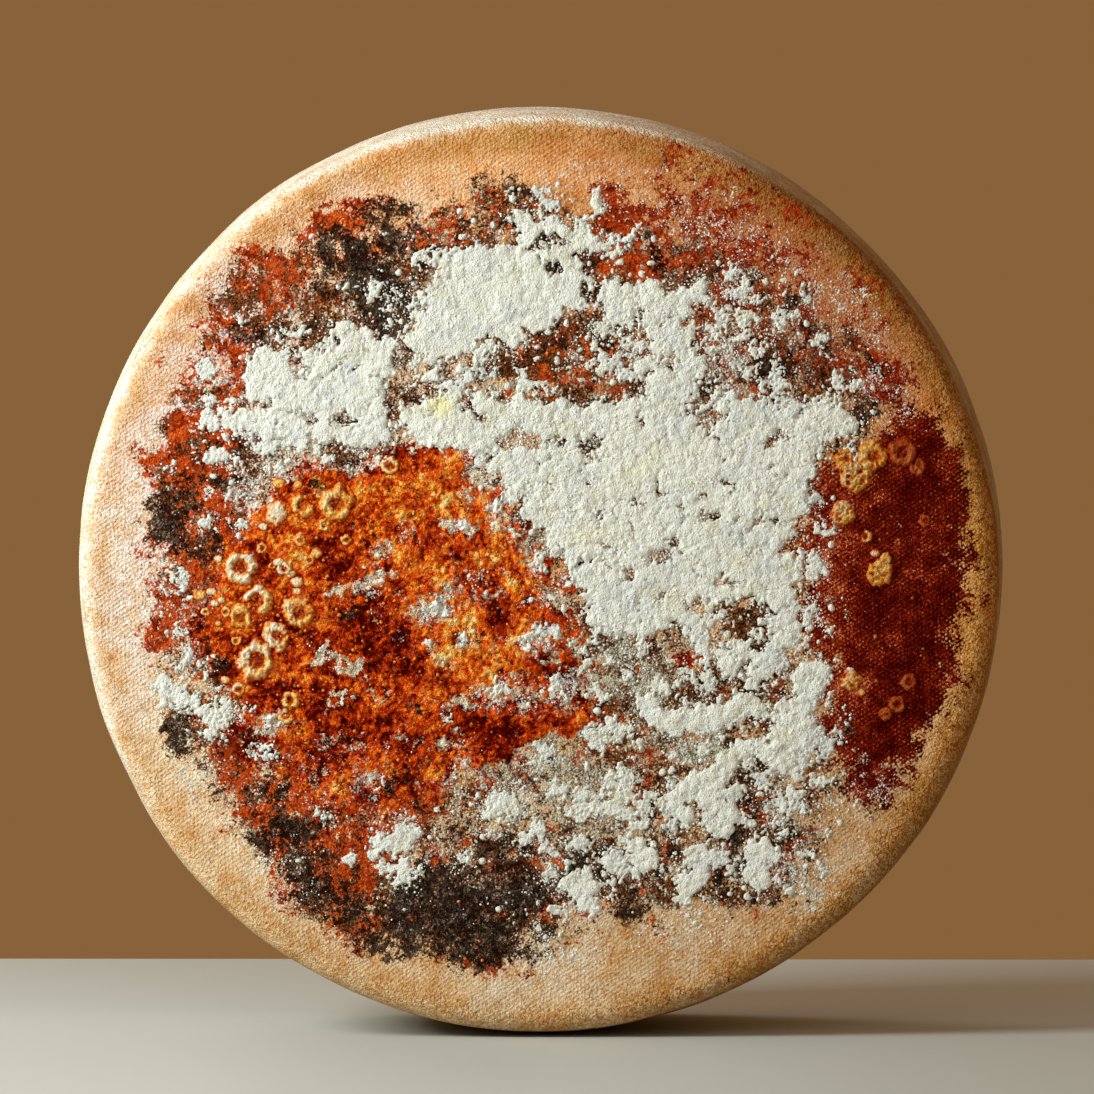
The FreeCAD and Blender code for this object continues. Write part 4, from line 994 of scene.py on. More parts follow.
def knob_material():
    """Gold craters: pale on the lip (a painted highlight on its lit side, on some all over), orange on the flanks, red
    in the pit.
    """
    t = Tree("gold_crust")
    (q1, q2, q3), (c1, c2, c3), (m1, m2, m3), dist = grain_fields(t, 0.5, 2.6, (23, 17, 5))
    lip, pit = t.attr("lip"), t.attr("pit")
    _, fleck = t.cells(0.75, (15, 2, 8))
    f1, f2, f3 = t.split(fleck)
    lipq = t.m("ADD", lip, t.m("MULTIPLY_ADD", t.m("SUBTRACT", q1, 0.5), 0.45,
                               t.m("MULTIPLY_ADD", f1, 0.30, -0.15)))
    col = ramp_colours(t, lipq, [
        (0.00, (0.22, 0.014, 0.002)), (0.18, (0.46, 0.055, 0.005)),
        (0.36, (0.68, 0.150, 0.012)), (0.56, (0.80, 0.320, 0.032)),
        (0.78, (0.85, 0.500, 0.110)), (1.00, (0.88, 0.680, 0.300))])
    col = t.mix(t.ramp(t.m("ADD", pit, t.m("MULTIPLY", t.m("SUBTRACT", q3, 0.5), 0.5)), 0.30, 0.75),
                col, t.mix(t.ramp(f2, 0.2, 0.9), (0.28, 0.016, 0.002), (0.70, 0.15, 0.012)))
    # painted highlight: pale cream where pale_and_painted_highlight asks, mostly on the rim's lit side
    col = t.mix(t.m("MULTIPLY", t.attr("pale_and_painted_highlight"), t.ramp(q2, -0.10, 0.42)), col,
                t.mix(q3, (0.84, 0.70, 0.44), (0.92, 0.87, 0.72)))
    col = t.mix(t.attr("dim"), col, t.mix(1.0, col, (0.46, 0.13, 0.06), "MULTIPLY"))
    knap = t.noise(1.0, 4.0, 0.68, (11, 29, 3))[0]
    pebble = t.cells(0.48, (13, 1, 47))[0]
    t.bump(t.m("MULTIPLY_ADD", knap, 1.0, t.m("MULTIPLY", t.m("SUBTRACT", 1.0, pebble), 0.20)))
    return t.finish(col, 0.80, 0.12)


def grain_material(name, dark, light):
    t = Tree(name)
    _, n = t.noise(1.7, 1.0, 0.5, (2, 8, 5))
    a, b, _c = t.split(stretched(t, n, 2.4))
    return t.finish(t.mix(t.ramp(a, 0.1, 0.9), dark, light), 0.95, 0.0)


RIND = rind_material()
WHITE = white_material()
KNOB = knob_material()

# ---------------------------------------------------------------- the rind
# Rind colour round the clean ring by angle, anticlockwise from the right, in
# degrees: pink-beige on the left, tan on top, rust and brown on the right.
RING_TONES = [
    (0, (0.820, 0.410, 0.160)), (22, (0.640, 0.300, 0.115)), (38, (0.480, 0.205, 0.085)),
    (62, (0.440, 0.148, 0.048)),
    (84, (0.720, 0.350, 0.140)), (104, (0.800, 0.455, 0.215)), (124, (0.790, 0.540, 0.350)),
    (150, (0.790, 0.600, 0.485)), (180, (0.790, 0.665, 0.555)), (205, (0.780, 0.610, 0.415)),
    (228, (0.750, 0.560, 0.345)), (252, (0.710, 0.510, 0.305)), (272, (0.670, 0.505, 0.315)),
    (300, (0.610, 0.410, 0.225)), (322, (0.600, 0.400, 0.220)), (342, (0.720, 0.420, 0.190)),
    (360, (0.820, 0.410, 0.160)),
]
OCHRE = np.array((0.66, 0.34, 0.085))
IVORY = np.array((0.83, 0.80, 0.69))


def ring_tone(u, v, seed=0):
    th = np.degrees(np.arctan2(v, u)) % 360
    r = np.hypot(u, v)
    th2 = (th + 9 * fbm(u, v, 22, 2, 31 + seed)) % 360
    a = [k for k, _ in RING_TONES]
    tone = np.stack([np.interp(th2, a, [c[i] for _, c in RING_TONES]) for i in range(3)], -1)
    # the ochre band just inside the edge
    edge = r + 2.2 * fbm(u, v, 9, 3, 33 + seed)
    right = 0.5 + 0.5 * np.cos(np.radians(th - 20))
    o = step(115.5, 121.5, edge) * (0.18 + 0.50 * right + 0.35 * fbm(u, v, 12, 3, 35 + seed))
    o = np.clip(o, 0, 0.85)[..., None]
    shade = tone.mean(-1, keepdims=True) / 0.55
    tone = tone * (1 - o) + OCHRE * np.clip(shade, 0.55, 1.25) * o
    # tan fuzz in patches, and a pinkish bloom
    z = step(0.0, 0.9, fbm(u, v, 10, 4, 37 + seed, 0.65))[..., None]
    tone = tone * (1 - 0.34 * z * np.array((0.35, 0.75, 1.25)))
    z = step(0.05, 0.9, fbm(u, v, 16, 4, 43 + seed, 0.65))[..., None]
    tone = np.minimum(tone * (1 + z * np.array((0.02, 0.10, 0.26))), 0.86)
    # the print is paler and pinker half way in
    p = step(98, 106, r) * (1 - step(112, 119, r)) * (0.5 + 0.5 * fbm(u, v, 12, 3, 39 + seed))
    tone = tone * (1 + 0.10 * p[..., None] * np.array((0.7, 1.0, 1.5)))
    return tone


def heel_tone(x, y, z):
    """Ivory heel with grey and tan mottling."""
    s = np.degrees(np.arctan2(z, x))
    n1 = fbm(s * 2.2, y, 13, 4, 61)
    n2 = fbm(s * 2.2, y, 5, 3, 63)
    tone = np.repeat(IVORY[None], len(x), 0)
    g = np.clip(0.30 + 0.55 * n1, 0, 1)[:, None]
    tone = tone * (1 - g) + np.array((0.60, 0.53, 0.40)) * g
    w = np.clip(0.15 + 0.7 * n2, 0, 0.8)[:, None]
    return tone * (1 - w) + np.array((0.78, 0.60, 0.40)) * w


def ground_attrs(u, v, layout=False):
    """Every cover the rind material reads, at face points."""
    if layout:
        x, y, (u, v) = u, v, from_layout(u, v)
    else:
        x, y = to_layout(u, v)
    f = ground(x, y)
    w = white_cover(x, y)
    r = np.hypot(u, v)
    inner = f.pop("inner")
    body = np.maximum.reduce([f["org"], f["red"] * .8, f["fld"], inner, f["blk"], f["olv"]])
    # white powder drifts round the mats and over the upper right
    near = cover(*warp(x, y, 8, 4, 77), WHITE_MATS, WHITE_FLOCKS, 30)
    drift = cover(*warp(x, y, 14, 5, 79), (), [
        (760, 290, 100, 70, -40, .32), (840, 330, 60, 60, -40, .30), (560, 175, 150, 22, 0, .30),
        (690, 230, 80, 50, 0, .30), (170, 470, 50, 120, 0, .10), (165, 600, 50, 110, 0, .18),
        (250, 300, 60, 60, 40, .10), (210, 260, 40, 30, 40, .2), (320, 800, 110, 70, 0, .20),
        (280, 870, 50, 40, -40, .45), (480, 880, 90, 60, 0, .28), (540, 950, 60, 24, 0, .40),
        (690, 920, 80, 30, -10, .34), (800, 870, 60, 40, -40, .38), (860, 800, 40, 30, -50, .3),
        (450, 600, 130, 90, 0, .10), (380, 240, 110, 50, 10, .12), (880, 400, 30, 50, -30, .35)],
        24)
    f["wht"] = np.clip(np.maximum(0.48 * step(0.05, 0.85, near), 0.85 * drift), 0, 0.58)
    f["wht"] *= 1 - 0.70 * f["blk"]
    f["rel"] = np.zeros(np.shape(x))
    f["cloth"] = np.clip(1.0 - 1.3 * np.maximum(body, near), 0, 1)
    f["cloth"] = np.maximum(f["cloth"], 0.30 * f["fld"])
    f["cloth"] *= step(8, 30, r)
    th = np.arctan2(v, u)
    f["fuzz"] = step(117.5, 122.5, r + 1.6 * fbm(u, v, 7, 3, 83)) * (0.55 + 0.45 * np.cos(th + 0.3))
    return f


def plain_attrs(n, **values):
    keys = ("red", "org", "gold", "deep", "fld", "brn", "olv", "gry", "blk", "wht", "cloth", "rel",
            "cream", "fuzz")
    return {k: np.zeros(n) + values.get(k, 0.0) for k in keys}


# front face
uf, vf = disc_points(FACE_R, 200)
xf, yf = to_layout(uf, vf)
gf = ground_attrs(uf, vf)
hf = (0.10 * fbm(uf, vf, 3.2, 3, 101) + 0.14 * gf["red"] * np.abs(fbm(uf, vf, 1.9, 2, 103))
      + 0.10 * gf["blk"] * fbm(uf, vf, 2.1, 2, 105))
hf *= 1 - step(FACE_R - 3, FACE_R, np.hypot(uf, vf))
front = make_mesh("rind_front", on_front(uf, vf, hf), grid_faces(201, 201), RIND,
                  floats=gf, colours={"ring": ring_tone(uf, vf)})

# round side: edge rounding, heel, edge rounding
SEG = 520
ang = np.radians(-90 + 360 * np.arange(SEG) / SEG)
pr = np.repeat(PROFILE[:, None, :], SEG, 1)
ux = (pr[..., 1] * np.cos(ang)[None, :]).ravel()
uz = (pr[..., 1] * np.sin(ang)[None, :]).ravel()
uy = pr[..., 0].ravel()
i = np.arange(len(PROFILE) * SEG).reshape(len(PROFILE), SEG)
j = np.roll(i, -1, 1)
side_faces = np.stack([i[:-1], i[1:], j[1:], j[:-1]], -1).reshape(-1, 4)
sx, sy, sz = settle(ux, uy, uz)
ns = len(ux)
# painted_shade_right and painted_shade_low: the heel's right and lower sides, turned away from the key light
painted_shade_right = step(0.62, 0.92, 0.5 + 0.5 * np.cos(np.arctan2(uz, ux) - math.radians(10)))
painted_shade_low = step(0.50, 0.85, 0.5 + 0.5 * np.cos(np.arctan2(uz, ux) + math.radians(70)))
# the front's ring colour runs further over the heel on the right and at the bottom: ochre rind, and darker there as
# painted shade
reach = 3.4 * painted_shade_right + 20.0 * painted_shade_low
front_w = (1 - step(-51.6 + 0.5 * reach, -49.6 + 1.2 * reach,
                    uy + (0.5 + 3 * painted_shade_low) * fbm(ux + uz, uy, 8, 3, 67)))[:, None]
back_w = step(48.4, 51.6, uy + 0.6 * fbm(ux - uz, uy, 8, 3, 69))[:, None]
tone = heel_tone(ux, uy, uz)
# painted shade: the heel's colour is darkened on its right and lower sides, where the key light doesn't reach
tone = tone * (1 - 0.38 * painted_shade_right[:, None] * np.array((0.6, 0.9, 1.3)))
tone = tone * (1 - 0.42 * painted_shade_low[:, None] * np.array((0.6, 0.9, 1.3)))
edge_tone = ring_tone(ux, uz)
back_tone = ring_tone(-ux, uz, 3)
tone = tone * (1 - front_w) + edge_tone * front_w
tone = tone * (1 - back_w) + back_tone * back_w
ga = ground_attrs(ux, uz)
for key in ga:
    ga[key] = ga[key] * front_w[:, 0] * step(112, 121, np.hypot(ux, uz) * 1.0)
ga["cloth"] = np.full(ns, 0.55)
ga["wht"] = np.clip(0.22 + 0.25 * fbm(ux * 1.1, uy, 14, 3, 71), 0, 0.5) * (1 - front_w[:, 0])
ga["gry"] = np.clip(0.10 + 0.40 * fbm(uz * 1.2 + ux, uy, 17, 3, 73), 0, 0.45) * (1 - front_w[:, 0])
side = make_mesh("rind_heel", np.stack([sx, sy, sz], -1), side_faces, RIND,
                 floats=ga, colours={"ring": tone})

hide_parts("wheel")
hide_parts("wheel")


# ------------------------------------------------------- relief on the face
class Relief:
    """A height field over a square of the face, in mm above the rind."""

    def __init__(self, lo, hi, cell, low, wobble=0.35, seed=0):
        self.cell, self.lo = cell, np.array(lo, float)
        self.nu = int(round((hi[0] - lo[0]) / cell)) + 1
        self.nv = int(round((hi[1] - lo[1]) / cell)) + 1
        self.u, self.v = np.meshgrid(lo[0] + cell * np.arange(self.nu),
                                     lo[1] + cell * np.arange(self.nv))
        self.x, self.y = to_layout(self.u, self.v)
        self.h = np.full(self.u.shape, float(low))
        # caps are pressed through in a wobbled frame, so none is a true circle
        self.wu = self.u + wobble * fbm(self.u, self.v, 2.3, 2, 131 + seed)
        self.wv = self.v + wobble * fbm(self.u, self.v, 2.3, 2, 133 + seed)

    def window(self, u, v, reach):
        a = np.clip(((np.array([u, v]) - reach - self.lo) / self.cell).astype(int), 0, None)
        b = ((np.array([u, v]) + reach - self.lo) / self.cell).astype(int) + 2
        return slice(a[1], min(b[1], self.nv)), slice(a[0], min(b[0], self.nu))

    def cap(self, u, v, r, h, base):
        w = self.window(u, v, 1.5 * r + 0.5)
        d = np.hypot(self.wu[w] - u, self.wv[w] - v) / r
        self.h[w] = np.maximum(self.h[w], base + h * (1 - d ** 3))

    def faces(self, above):
        """Cells with a corner above a height."""
        f = grid_faces(self.nu, self.nv)
        return f[self.h.ravel()[f].max(1) > above]


def scatter(spacing, radius, seed):
    """Jittered points over a disc, about one each spacing."""
    r = np.random.RandomState(seed)
    n = int(2 * radius / spacing) + 2
    g = (np.arange(n) - (n - 1) / 2) * spacing
    a, b = np.meshgrid(g, g)
    a = a + (np.arange(n) % 2)[:, None] * spacing / 2
    a = (a + r.uniform(-0.48, 0.48, a.shape) * spacing).ravel()
    b = (b + r.uniform(-0.48, 0.48, b.shape) * spacing).ravel()
    k = np.hypot(a, b) < radius
    return a[k], b[k], r


# ------------------------------------------------------------ orange crust
crust = Relief((-98, -72), (16, 38), 0.39, -0.5, seed=2)
co_ = ground_attrs(crust.x.ravel(), crust.y.ravel(), layout=True)
og = co_["org"].reshape(crust.u.shape)
crust.h = (-0.35 + 0.75 * step(0.30, 0.80, og)
           + og * (0.38 * fbm(crust.u, crust.v, 6.0, 3, 141)
                   + 0.42 * (0.5 - np.abs(fbm(crust.u, crust.v, 2.4, 2, 143)))
                   + 0.30 * (0.5 - np.abs(fbm(crust.u, crust.v, 1.4, 2, 147)))
                   + 0.18 * fbm(crust.u, crust.v, 0.95, 1, 145)))
crust_h = crust.h.copy()
co_["rel"] = np.clip((crust.h - crust.h.mean()) / 0.45, -1, 1).ravel() * og.ravel()
crust_piece = make_mesh("mould_crust", on_front(crust.u.ravel(), crust.v.ravel(), crust.h.ravel()),
                        crust.faces(-0.02), RIND, floats=co_,
                        colours={"ring": ring_tone(crust.u.ravel(), crust.v.ravel())})


def ground_height(u, v):
    """Height of what the white mould and the knobs sit on."""
    i = np.clip(((np.asarray(u) - crust.lo[0]) / crust.cell + 0.5).astype(int), 0, crust.nu - 1)
    j = np.clip(((np.asarray(v) - crust.lo[1]) / crust.cell + 0.5).astype(int), 0, crust.nv - 1)
    inside = ((u > crust.lo[0]) & (u < crust.u.max()) & (v > crust.lo[1]) & (v < crust.v.max()))
    return np.where(inside, np.maximum(crust_h[j, i], 0.0), 0.0)


# ------------------------------------------------------------- white mould
white = Relief((-112, -112), (98, 112), 0.32, -0.7)
w = white_cover(white.x, white.y)
plaster = cover(*warp(white.x, white.y, 8, 3, 151), [WHITE_MATS[1]], (), 14)
soft_w = cover(*warp(white.x, white.y, 9, 3, 153), WHITE_MATS, (), 20)
mass = step(0.46, 0.68, w)
broad = fbm(white.u, white.v, 9.0, 3, 155)
lumps = fbm(white.u, white.v, 2.6, 3, 157)
fine = fbm(white.u, white.v, 1.1, 2, 163)
ridges = 0.5 - np.abs(fbm(white.u * 0.8 + white.v * 0.6, white.v * 0.8 - white.u * 0.5, 6.0, 3, 159))
white.h = (-0.45 + mass * (0.70 + 0.16 * soft_w)
           + mass * (0.32 * broad + 0.24 * lumps * (1 - 0.6 * plaster) + (0.14 - 0.08 * plaster) * fine)
           + mass * plaster * (0.34 * ridges - 0.08 * lumps))

a, b, rs = scatter(0.80, 113, SEED + 3)
px, py = to_layout(a, b)
wa = white_cover(px, py)
pa = cover(*warp(px, py, 8, 3, 151), [WHITE_MATS[1]], (), 14)
keep = (wa > rs.uniform(0.28, 0.85, len(a))) & (rs.rand(len(a)) > 0.80 * pa)
size = 0.26 + 0.26 * rs.rand(len(a)) ** 1.5
for u, v, r, c in zip(a[keep], b[keep], size[keep], wa[keep]):
    full = float(step(0.42, 0.92, c))
    white.cap(u, v, r, (0.42 - 0.15 * full) * r + 0.10, -0.08 + 0.40 * full)

a, b, rs = scatter(2.3, 113, SEED + 4)
px, py = to_layout(a, b)
wa = white_cover(px, py)
pa = cover(*warp(px, py, 8, 3, 151), [WHITE_MATS[1]], (), 14)
sa = cover(*warp(px, py, 9, 3, 153), WHITE_MATS, (), 12)
keep = (wa > 0.62) & (rs.rand(len(a)) > 0.75 * pa) & (sa > 0.45 + 0.4 * rs.rand(len(a)))
size = 0.80 + 1.20 * rs.rand(len(a)) ** 1.4
for u, v, r, c in zip(a[keep], b[keep], size[keep], wa[keep]):
    full = float(step(0.42, 0.92, c))
    white.cap(u, v, r, 0.12 * r + 0.10, 0.02 + 0.36 * full)

# round crumbs strewn about the mats
a, b, rs = scatter(1.7, 113, SEED + 14)
px, py = to_layout(a, b)
wa = white_cover(px, py)
ha = cover(*warp(px, py, 9, 4, 167), WHITE_MATS, WHITE_FLOCKS, 36)
oa = cover(*warp(px, py, 16.0, 6.0, 47), CRUST, CRUST_BLOBS, 24)
keep = (wa < 0.45) & (rs.rand(len(a)) < 0.42 * step(0.02, 0.45, ha) * (1 - 0.8 * oa))
size = 0.34 + 0.80 * rs.rand(len(a)) ** 2.3
for u, v, r in zip(a[keep], b[keep], size[keep]):
    white.cap(u, v, r, 0.42 * r + 0.10, 0.0)

solid = step(0.22, 0.50, white.h)
gh = ground_height(white.u, white.v)
white.h += gh * step(-0.2, 0.3, white.h)
wf = white.faces(0.0)
# thin_and_hollow_shade: high where the white's cover is thin, raised where its surface lies low between caps; that low
# part darkens the hollows as painted shade
thin_and_hollow_shade = np.clip(1.0 - step(0.50, 1.0, w) + 0.55 * np.clip(0.32 - white.h, 0, 1), 0, 1)
thin_and_hollow_shade *= 1 - 0.5 * solid
lemon = cover(*warp(white.x, white.y, 3, 2, 161), (), [(441, 404, 13, 11, 0, 1.0),
              (588, 372, 12, 6, 0, .4), (640, 470, 30, 8, 30, .3), (590, 535, 30, 8, 10, .3)], 8)
upper = white.v.ravel()[wf].mean(1) > 24.0
for name, part in (("mould_white_upper", wf[upper]), ("mould_white_lower", wf[~upper])):
    make_mesh(name, on_front(white.u.ravel(), white.v.ravel(), white.h.ravel()), part, WHITE,
              floats={"thin_and_hollow_shade": thin_and_hollow_shade.ravel(), "lemon": lemon.ravel()})

# ---------------------------------------------------------- gold knobs, craters
def grow(spots, name, base=ground_height, put=on_front, cell=0.225, seed=501):
    co, faces, lips, pits, pale_and_painted_highlight_parts, dims, n0 = [], [], [], [], [], [], 0
    for k, (x, y, radius, kind, tilt, pale_and_painted_highlight) in enumerate(spots):
        rs = np.random.RandomState(seed + k)
        u0, v0 = from_layout(x, y)
        r = radius / UNIT
        n = max(int(2 * 1.3 * r / min(cell, r / 5.5)), 12)
        g = np.linspace(-1.3, 1.3, n + 1) * r
        gu, gv = np.meshgrid(g, g)
        swing = min(0.30, 0.09 * r)
        wu = gu + swing * fbm(gu + 31 * k, gv, 1.9, 3, 181)
        wv = gv + swing * fbm(gu + 31 * k, gv, 1.9, 3, 183)
        if kind == 0:                   # knobs are a little oval
            c, s_ = math.cos(math.radians(tilt)), math.sin(math.radians(tilt))
            lx, ly = wu * c + wv * s_, (wv * c - wu * s_) * 1.25
            wu, wv = lx, ly
        th = np.arctan2(wv, wu)
        lobes = int(rs.randint(6, 9) if r > 3.2 else rs.randint(4, 7))
        bend = fbm(np.cos(th) * 1.3 + 7 * k, np.sin(th) * 1.3, 1.0, 2, 185)
        lobe = 0.5 + 0.5 * np.cos(lobes * th + rs.uniform(0, 6) + 1.6 * bend)
        bend2 = fbm(np.cos(th) * 2.6 + 5 * k, np.sin(th) * 2.6 + 3, 1.0, 3, 191)
        lobe = np.clip(0.55 * lobe + 0.45 * (0.5 + 0.7 * bend2), 0, 1.1)
        shag = 0.06 if kind >= 4 else 0.045
        d = np.hypot(wu, wv) / r / (0.93 + shag * lobe + 0.09 * bend + 0.05 * bend2)
        top = 0.22 + 0.22 * r
        fine = fbm(gu + 17 * k, gv, 0.9, 3, 187, 0.7)
        folds = 0.5 - np.abs(fbm(gu + 23 * k, gv, 1.5, 2, 189))
        skirt = 0.12 - 0.75 * step(0.80, 1.12, d) - 0.5 * np.clip(d - 1.1, 0, 1)
        if kind == 0:
            body = top * np.clip(1 - d ** 2.4, 0, 1) * (0.82 + 0.30 * folds)
            lip = np.clip(body / top, 0, 1)
            pit = np.zeros_like(lip)
        elif kind == 5:
            ridge = step(1.02, 0.62, d) * (0.40 + 0.75 * folds + 0.20 * lobe)
            body = top * ridge
            lip = np.clip(0.25 + 0.75 * ridge, 0, 1.1)
            pit = np.zeros_like(lip)
        else:
            at, wide_ = (0.64, 0.29) if kind != 4 else (0.62, 0.34)
            wide_ = wide_ * (1 + 0.35 * bend)
            ridge = np.exp(-((d - at) / wide_) ** 2) * (0.66 + 0.22 * lobe + 0.40 * folds)
            if kind == 2:
                ridge *= step(0.04, 0.30, 0.5 - 0.5 * np.cos(th - math.radians(tilt)))
            elif kind == 4:
                ridge *= 0.62 + 0.38 * step(0.0, 0.5, 0.5 - 0.5 * np.cos(th - math.radians(tilt)))
            body = top * ridge
            lip = np.clip(ridge, 0, 1.1)
            pit = step(0.55, 0.22, d)
            body = body + pit * 0.14 * top * (1 + 2.0 * fine)
            if r > 4.2 and kind == 1:   # a small knob stands in the middle
                mid = np.clip(1 - (np.hypot(wu - 0.06 * r, wv + 0.04 * r) / (0.24 * r)) ** 2, 0, 1)
                body = np.maximum(body, 0.45 * top * mid)
                pit = pit * (1 - 0.8 * step(0.1, 0.5, mid))
        h = skirt + body + (0.20 if kind == 4 else 0.13) * fine * step(1.1, 0.8, d)
        u, v = (u0 + gu).ravel(), (v0 + gv).ravel()
        ground_ = float(np.median(base(u, v)))
        f = grid_faces(n + 1, n + 1)
        f = f[h.ravel()[f].max(1) > -0.25]
        co.append(put(u, v, h.ravel() + ground_ - 0.02))
        faces.append(f + n0)
        lips.append(lip.ravel())
        pits.append(pit.ravel())
        # painted highlight: lit marks the rim's side facing the key light at the upper left, where the pale cream is
        # laid
        lit = step(-0.5, 0.5, (-gu * 0.75 + gv * 0.65) / r)
        amount = np.clip(lit * np.clip(pale_and_painted_highlight, 0, 1) + 0.85 * np.clip(pale_and_painted_highlight - 1.0, 0, 1), 0, 1)
        pale_and_painted_highlight_parts.append((amount * step(0.30, 0.85, lip + 0.25 * fine)).ravel())
        dims.append(np.full(u.size, 0.0 if x < 820 else 0.26 if pale_and_painted_highlight >= 0 else 0.95))
        n0 += len(u)
    return make_mesh(name, np.concatenate(co), np.concatenate(faces), KNOB,
                     floats={"lip": np.concatenate(lips), "pit": np.concatenate(pits),
                             "pale_and_painted_highlight": np.concatenate(pale_and_painted_highlight_parts), "dim": np.concatenate(dims)})


grow(ROSETTES, "mould_knobs")

# ------------------------------------------------------------------- grains
T_ = (1 + 5 ** 0.5) / 2
ICO_V = np.array([(-1, T_, 0), (1, T_, 0), (-1, -T_, 0), (1, -T_, 0), (0, -1, T_), (0, 1, T_),
                  (0, -1, -T_), (0, 1, -T_), (T_, 0, -1), (T_, 0, 1), (-T_, 0, -1), (-T_, 0, 1)])
ICO_V = ICO_V / np.linalg.norm(ICO_V[0])
ICO_F = np.array([(0, 11, 5), (0, 5, 1), (0, 1, 7), (0, 7, 10), (0, 10, 11), (1, 5, 9),
                  (5, 11, 4), (11, 10, 2), (10, 7, 6), (7, 1, 8), (3, 9, 4), (3, 4, 2),
                  (3, 2, 6), (3, 6, 8), (3, 8, 9), (4, 9, 5), (2, 4, 11), (6, 2, 10),
                  (8, 6, 7), (9, 8, 1)])


def grains(name, u, v, r, lift, material, rs, put=on_front):
    """Small rounded grains, each turned and squashed its own way."""
    n = len(u)
    q = rs.normal(size=(n, 3, 3))
    q = np.linalg.qr(q)[0]
    shape = 1 + rs.uniform(-0.22, 0.22, (n, 12, 1))
    p = np.einsum("nij,kj->nki", q, ICO_V) * shape * r[:, None, None]
    uu, vv = u[:, None] + p[..., 0], v[:, None] + p[..., 2]
    hh = lift[:, None] + 0.75 * p[..., 1]
    co = put(uu.ravel(), vv.ravel(), hh.ravel())
    f = (ICO_F[None] + 12 * np.arange(n)[:, None, None]).reshape(-1, 3)
    if np.linalg.det(q).mean() < 1:     # mirrored frames turn their faces round
        flip = np.repeat(np.linalg.det(q) > 0, 20)
        f[flip] = f[flip][:, ::-1]
    return make_mesh(name, co, f, material)


def white_height(u, v):
    i = np.clip(((u - white.lo[0]) / white.cell + 0.5).astype(int), 0, white.nu - 1)
    j = np.clip(((v - white.lo[1]) / white.cell + 0.5).astype(int), 0, white.nv - 1)
    return np.maximum(white.h[j, i], 0.0)


POWDER = grain_material("powder_grain", (0.70, 0.70, 0.62), (0.86, 0.86, 0.78))
RUST = grain_material("rust_grain", (0.30, 0.04, 0.01), (0.80, 0.26, 0.05))

a, b, rs = scatter(1.05, 116, SEED + 6)
px, py = to_layout(a, b)
wa = white_cover(px, py)
near = cover(*warp(px, py, 8, 4, 77), WHITE_MATS, WHITE_FLOCKS, 16)
dr_ = ground_attrs(px, py, layout=True)["wht"]
chance = np.where(wa > 0.55, 0.14, 0.60 * step(0.05, 0.6, near)) + 0.30 * dr_
keep = rs.rand(len(a)) < chance
a, b = a[keep], b[keep]
r = (0.14 + 0.24 * rs.rand(len(a)) ** 1.6)
grains("grains_white", a, b, r, white_height(a, b) + 0.05 + ground_height(a, b) * 0.0,
       POWDER, rs)

a, b, rs = scatter(1.6, 118, SEED + 7)
px, py = to_layout(a, b)
ro = ground(px, py)
chance = 0.22 * ro["org"] + 0.015 * ro["fld"] + 0.08 * ro["red"]
chance = chance + 0.5 * cover(px, py, (), [(212, 590, 26, 40, 0, 1.0), (270, 660, 60, 60, 0, .5),
                                          (870, 490, 20, 40, 0, .10)], 10)
keep = (rs.rand(len(a)) < chance) & (white_cover(px, py) < 0.4)
a, b = a[keep], b[keep]
r = (0.22 + 0.42 * rs.rand(len(a)) ** 2.2)
grains("grains_rust", a, b, r, ground_height(a, b) + 0.04, RUST, rs)

# ---------------------------------------------------------------- back face
# The face away from the camera: the same cloth-printed rind, with a lighter
# growth of the same kinds of mould in a layout of its own.
B_WHITE = [(470, 420, 90, 60, 20, 1.0), (560, 380, 60, 40, -10, .95), (400, 480, 50, 36, 40, .9),
           (640, 430, 36, 26, 0, .9), (330, 560, 26, 20, 0, .8), (700, 640, 44, 30, -30, .9),
           (660, 700, 30, 24, 0, .85), (520, 760, 40, 18, 10, .8), (430, 720, 20, 14, 0, .8),
           (600, 820, 16, 12, 0, .9), (300, 680, 18, 14, 0, .8), (760, 520, 18, 16, 0, .8),
           (350, 380, 18, 14, 0, .8), (520, 300, 26, 14, 0, .7), (760, 760, 14, 12, 0, .7)]
B_RED = [(600, 560, 110, 90, 20, .85), (420, 610, 90, 60, -10, .7), (720, 480, 60, 60, 0, .6),
         (330, 480, 50, 60, 0, .6), (560, 690, 100, 60, 0, .7), (450, 330, 80, 40, 0, .55),
         (720, 720, 60, 40, -30, .5), (280, 620, 40, 60, 0, .5), (620, 300, 60, 36, 0, .5)]
B_CRUST = [(600, 570, 66, 48, 20, 1.0), (540, 620, 44, 30, 0, .9), (650, 520, 30, 30, 0, .8),
           (440, 640, 22, 16, 0, .7)]
B_BLACK = [(480, 540, 44, 28, 10, .8), (700, 560, 30, 26, 0, .7), (380, 660, 34, 22, 0, .7),
           (620, 740, 44, 24, 0, .8), (300, 540, 26, 26, 0, .6), (560, 470, 30, 14, 0, .6),
           (500, 810, 40, 18, 0, .6), (700, 380, 30, 20, 0, .5), (400, 330, 26, 18, 0, .5)]


def spread(blobs, by=1.38):
    """The same blobs, moved out from the middle of the face and enlarged."""
    return [(530 + by * (x - 530), 552 + by * (y - 552), by * rx, by * ry, tilt, k)
            for x, y, rx, ry, tilt, k in blobs]


B_WHITE, B_RED, B_CRUST, B_BLACK = map(spread, (B_WHITE, B_RED, B_CRUST, B_BLACK))


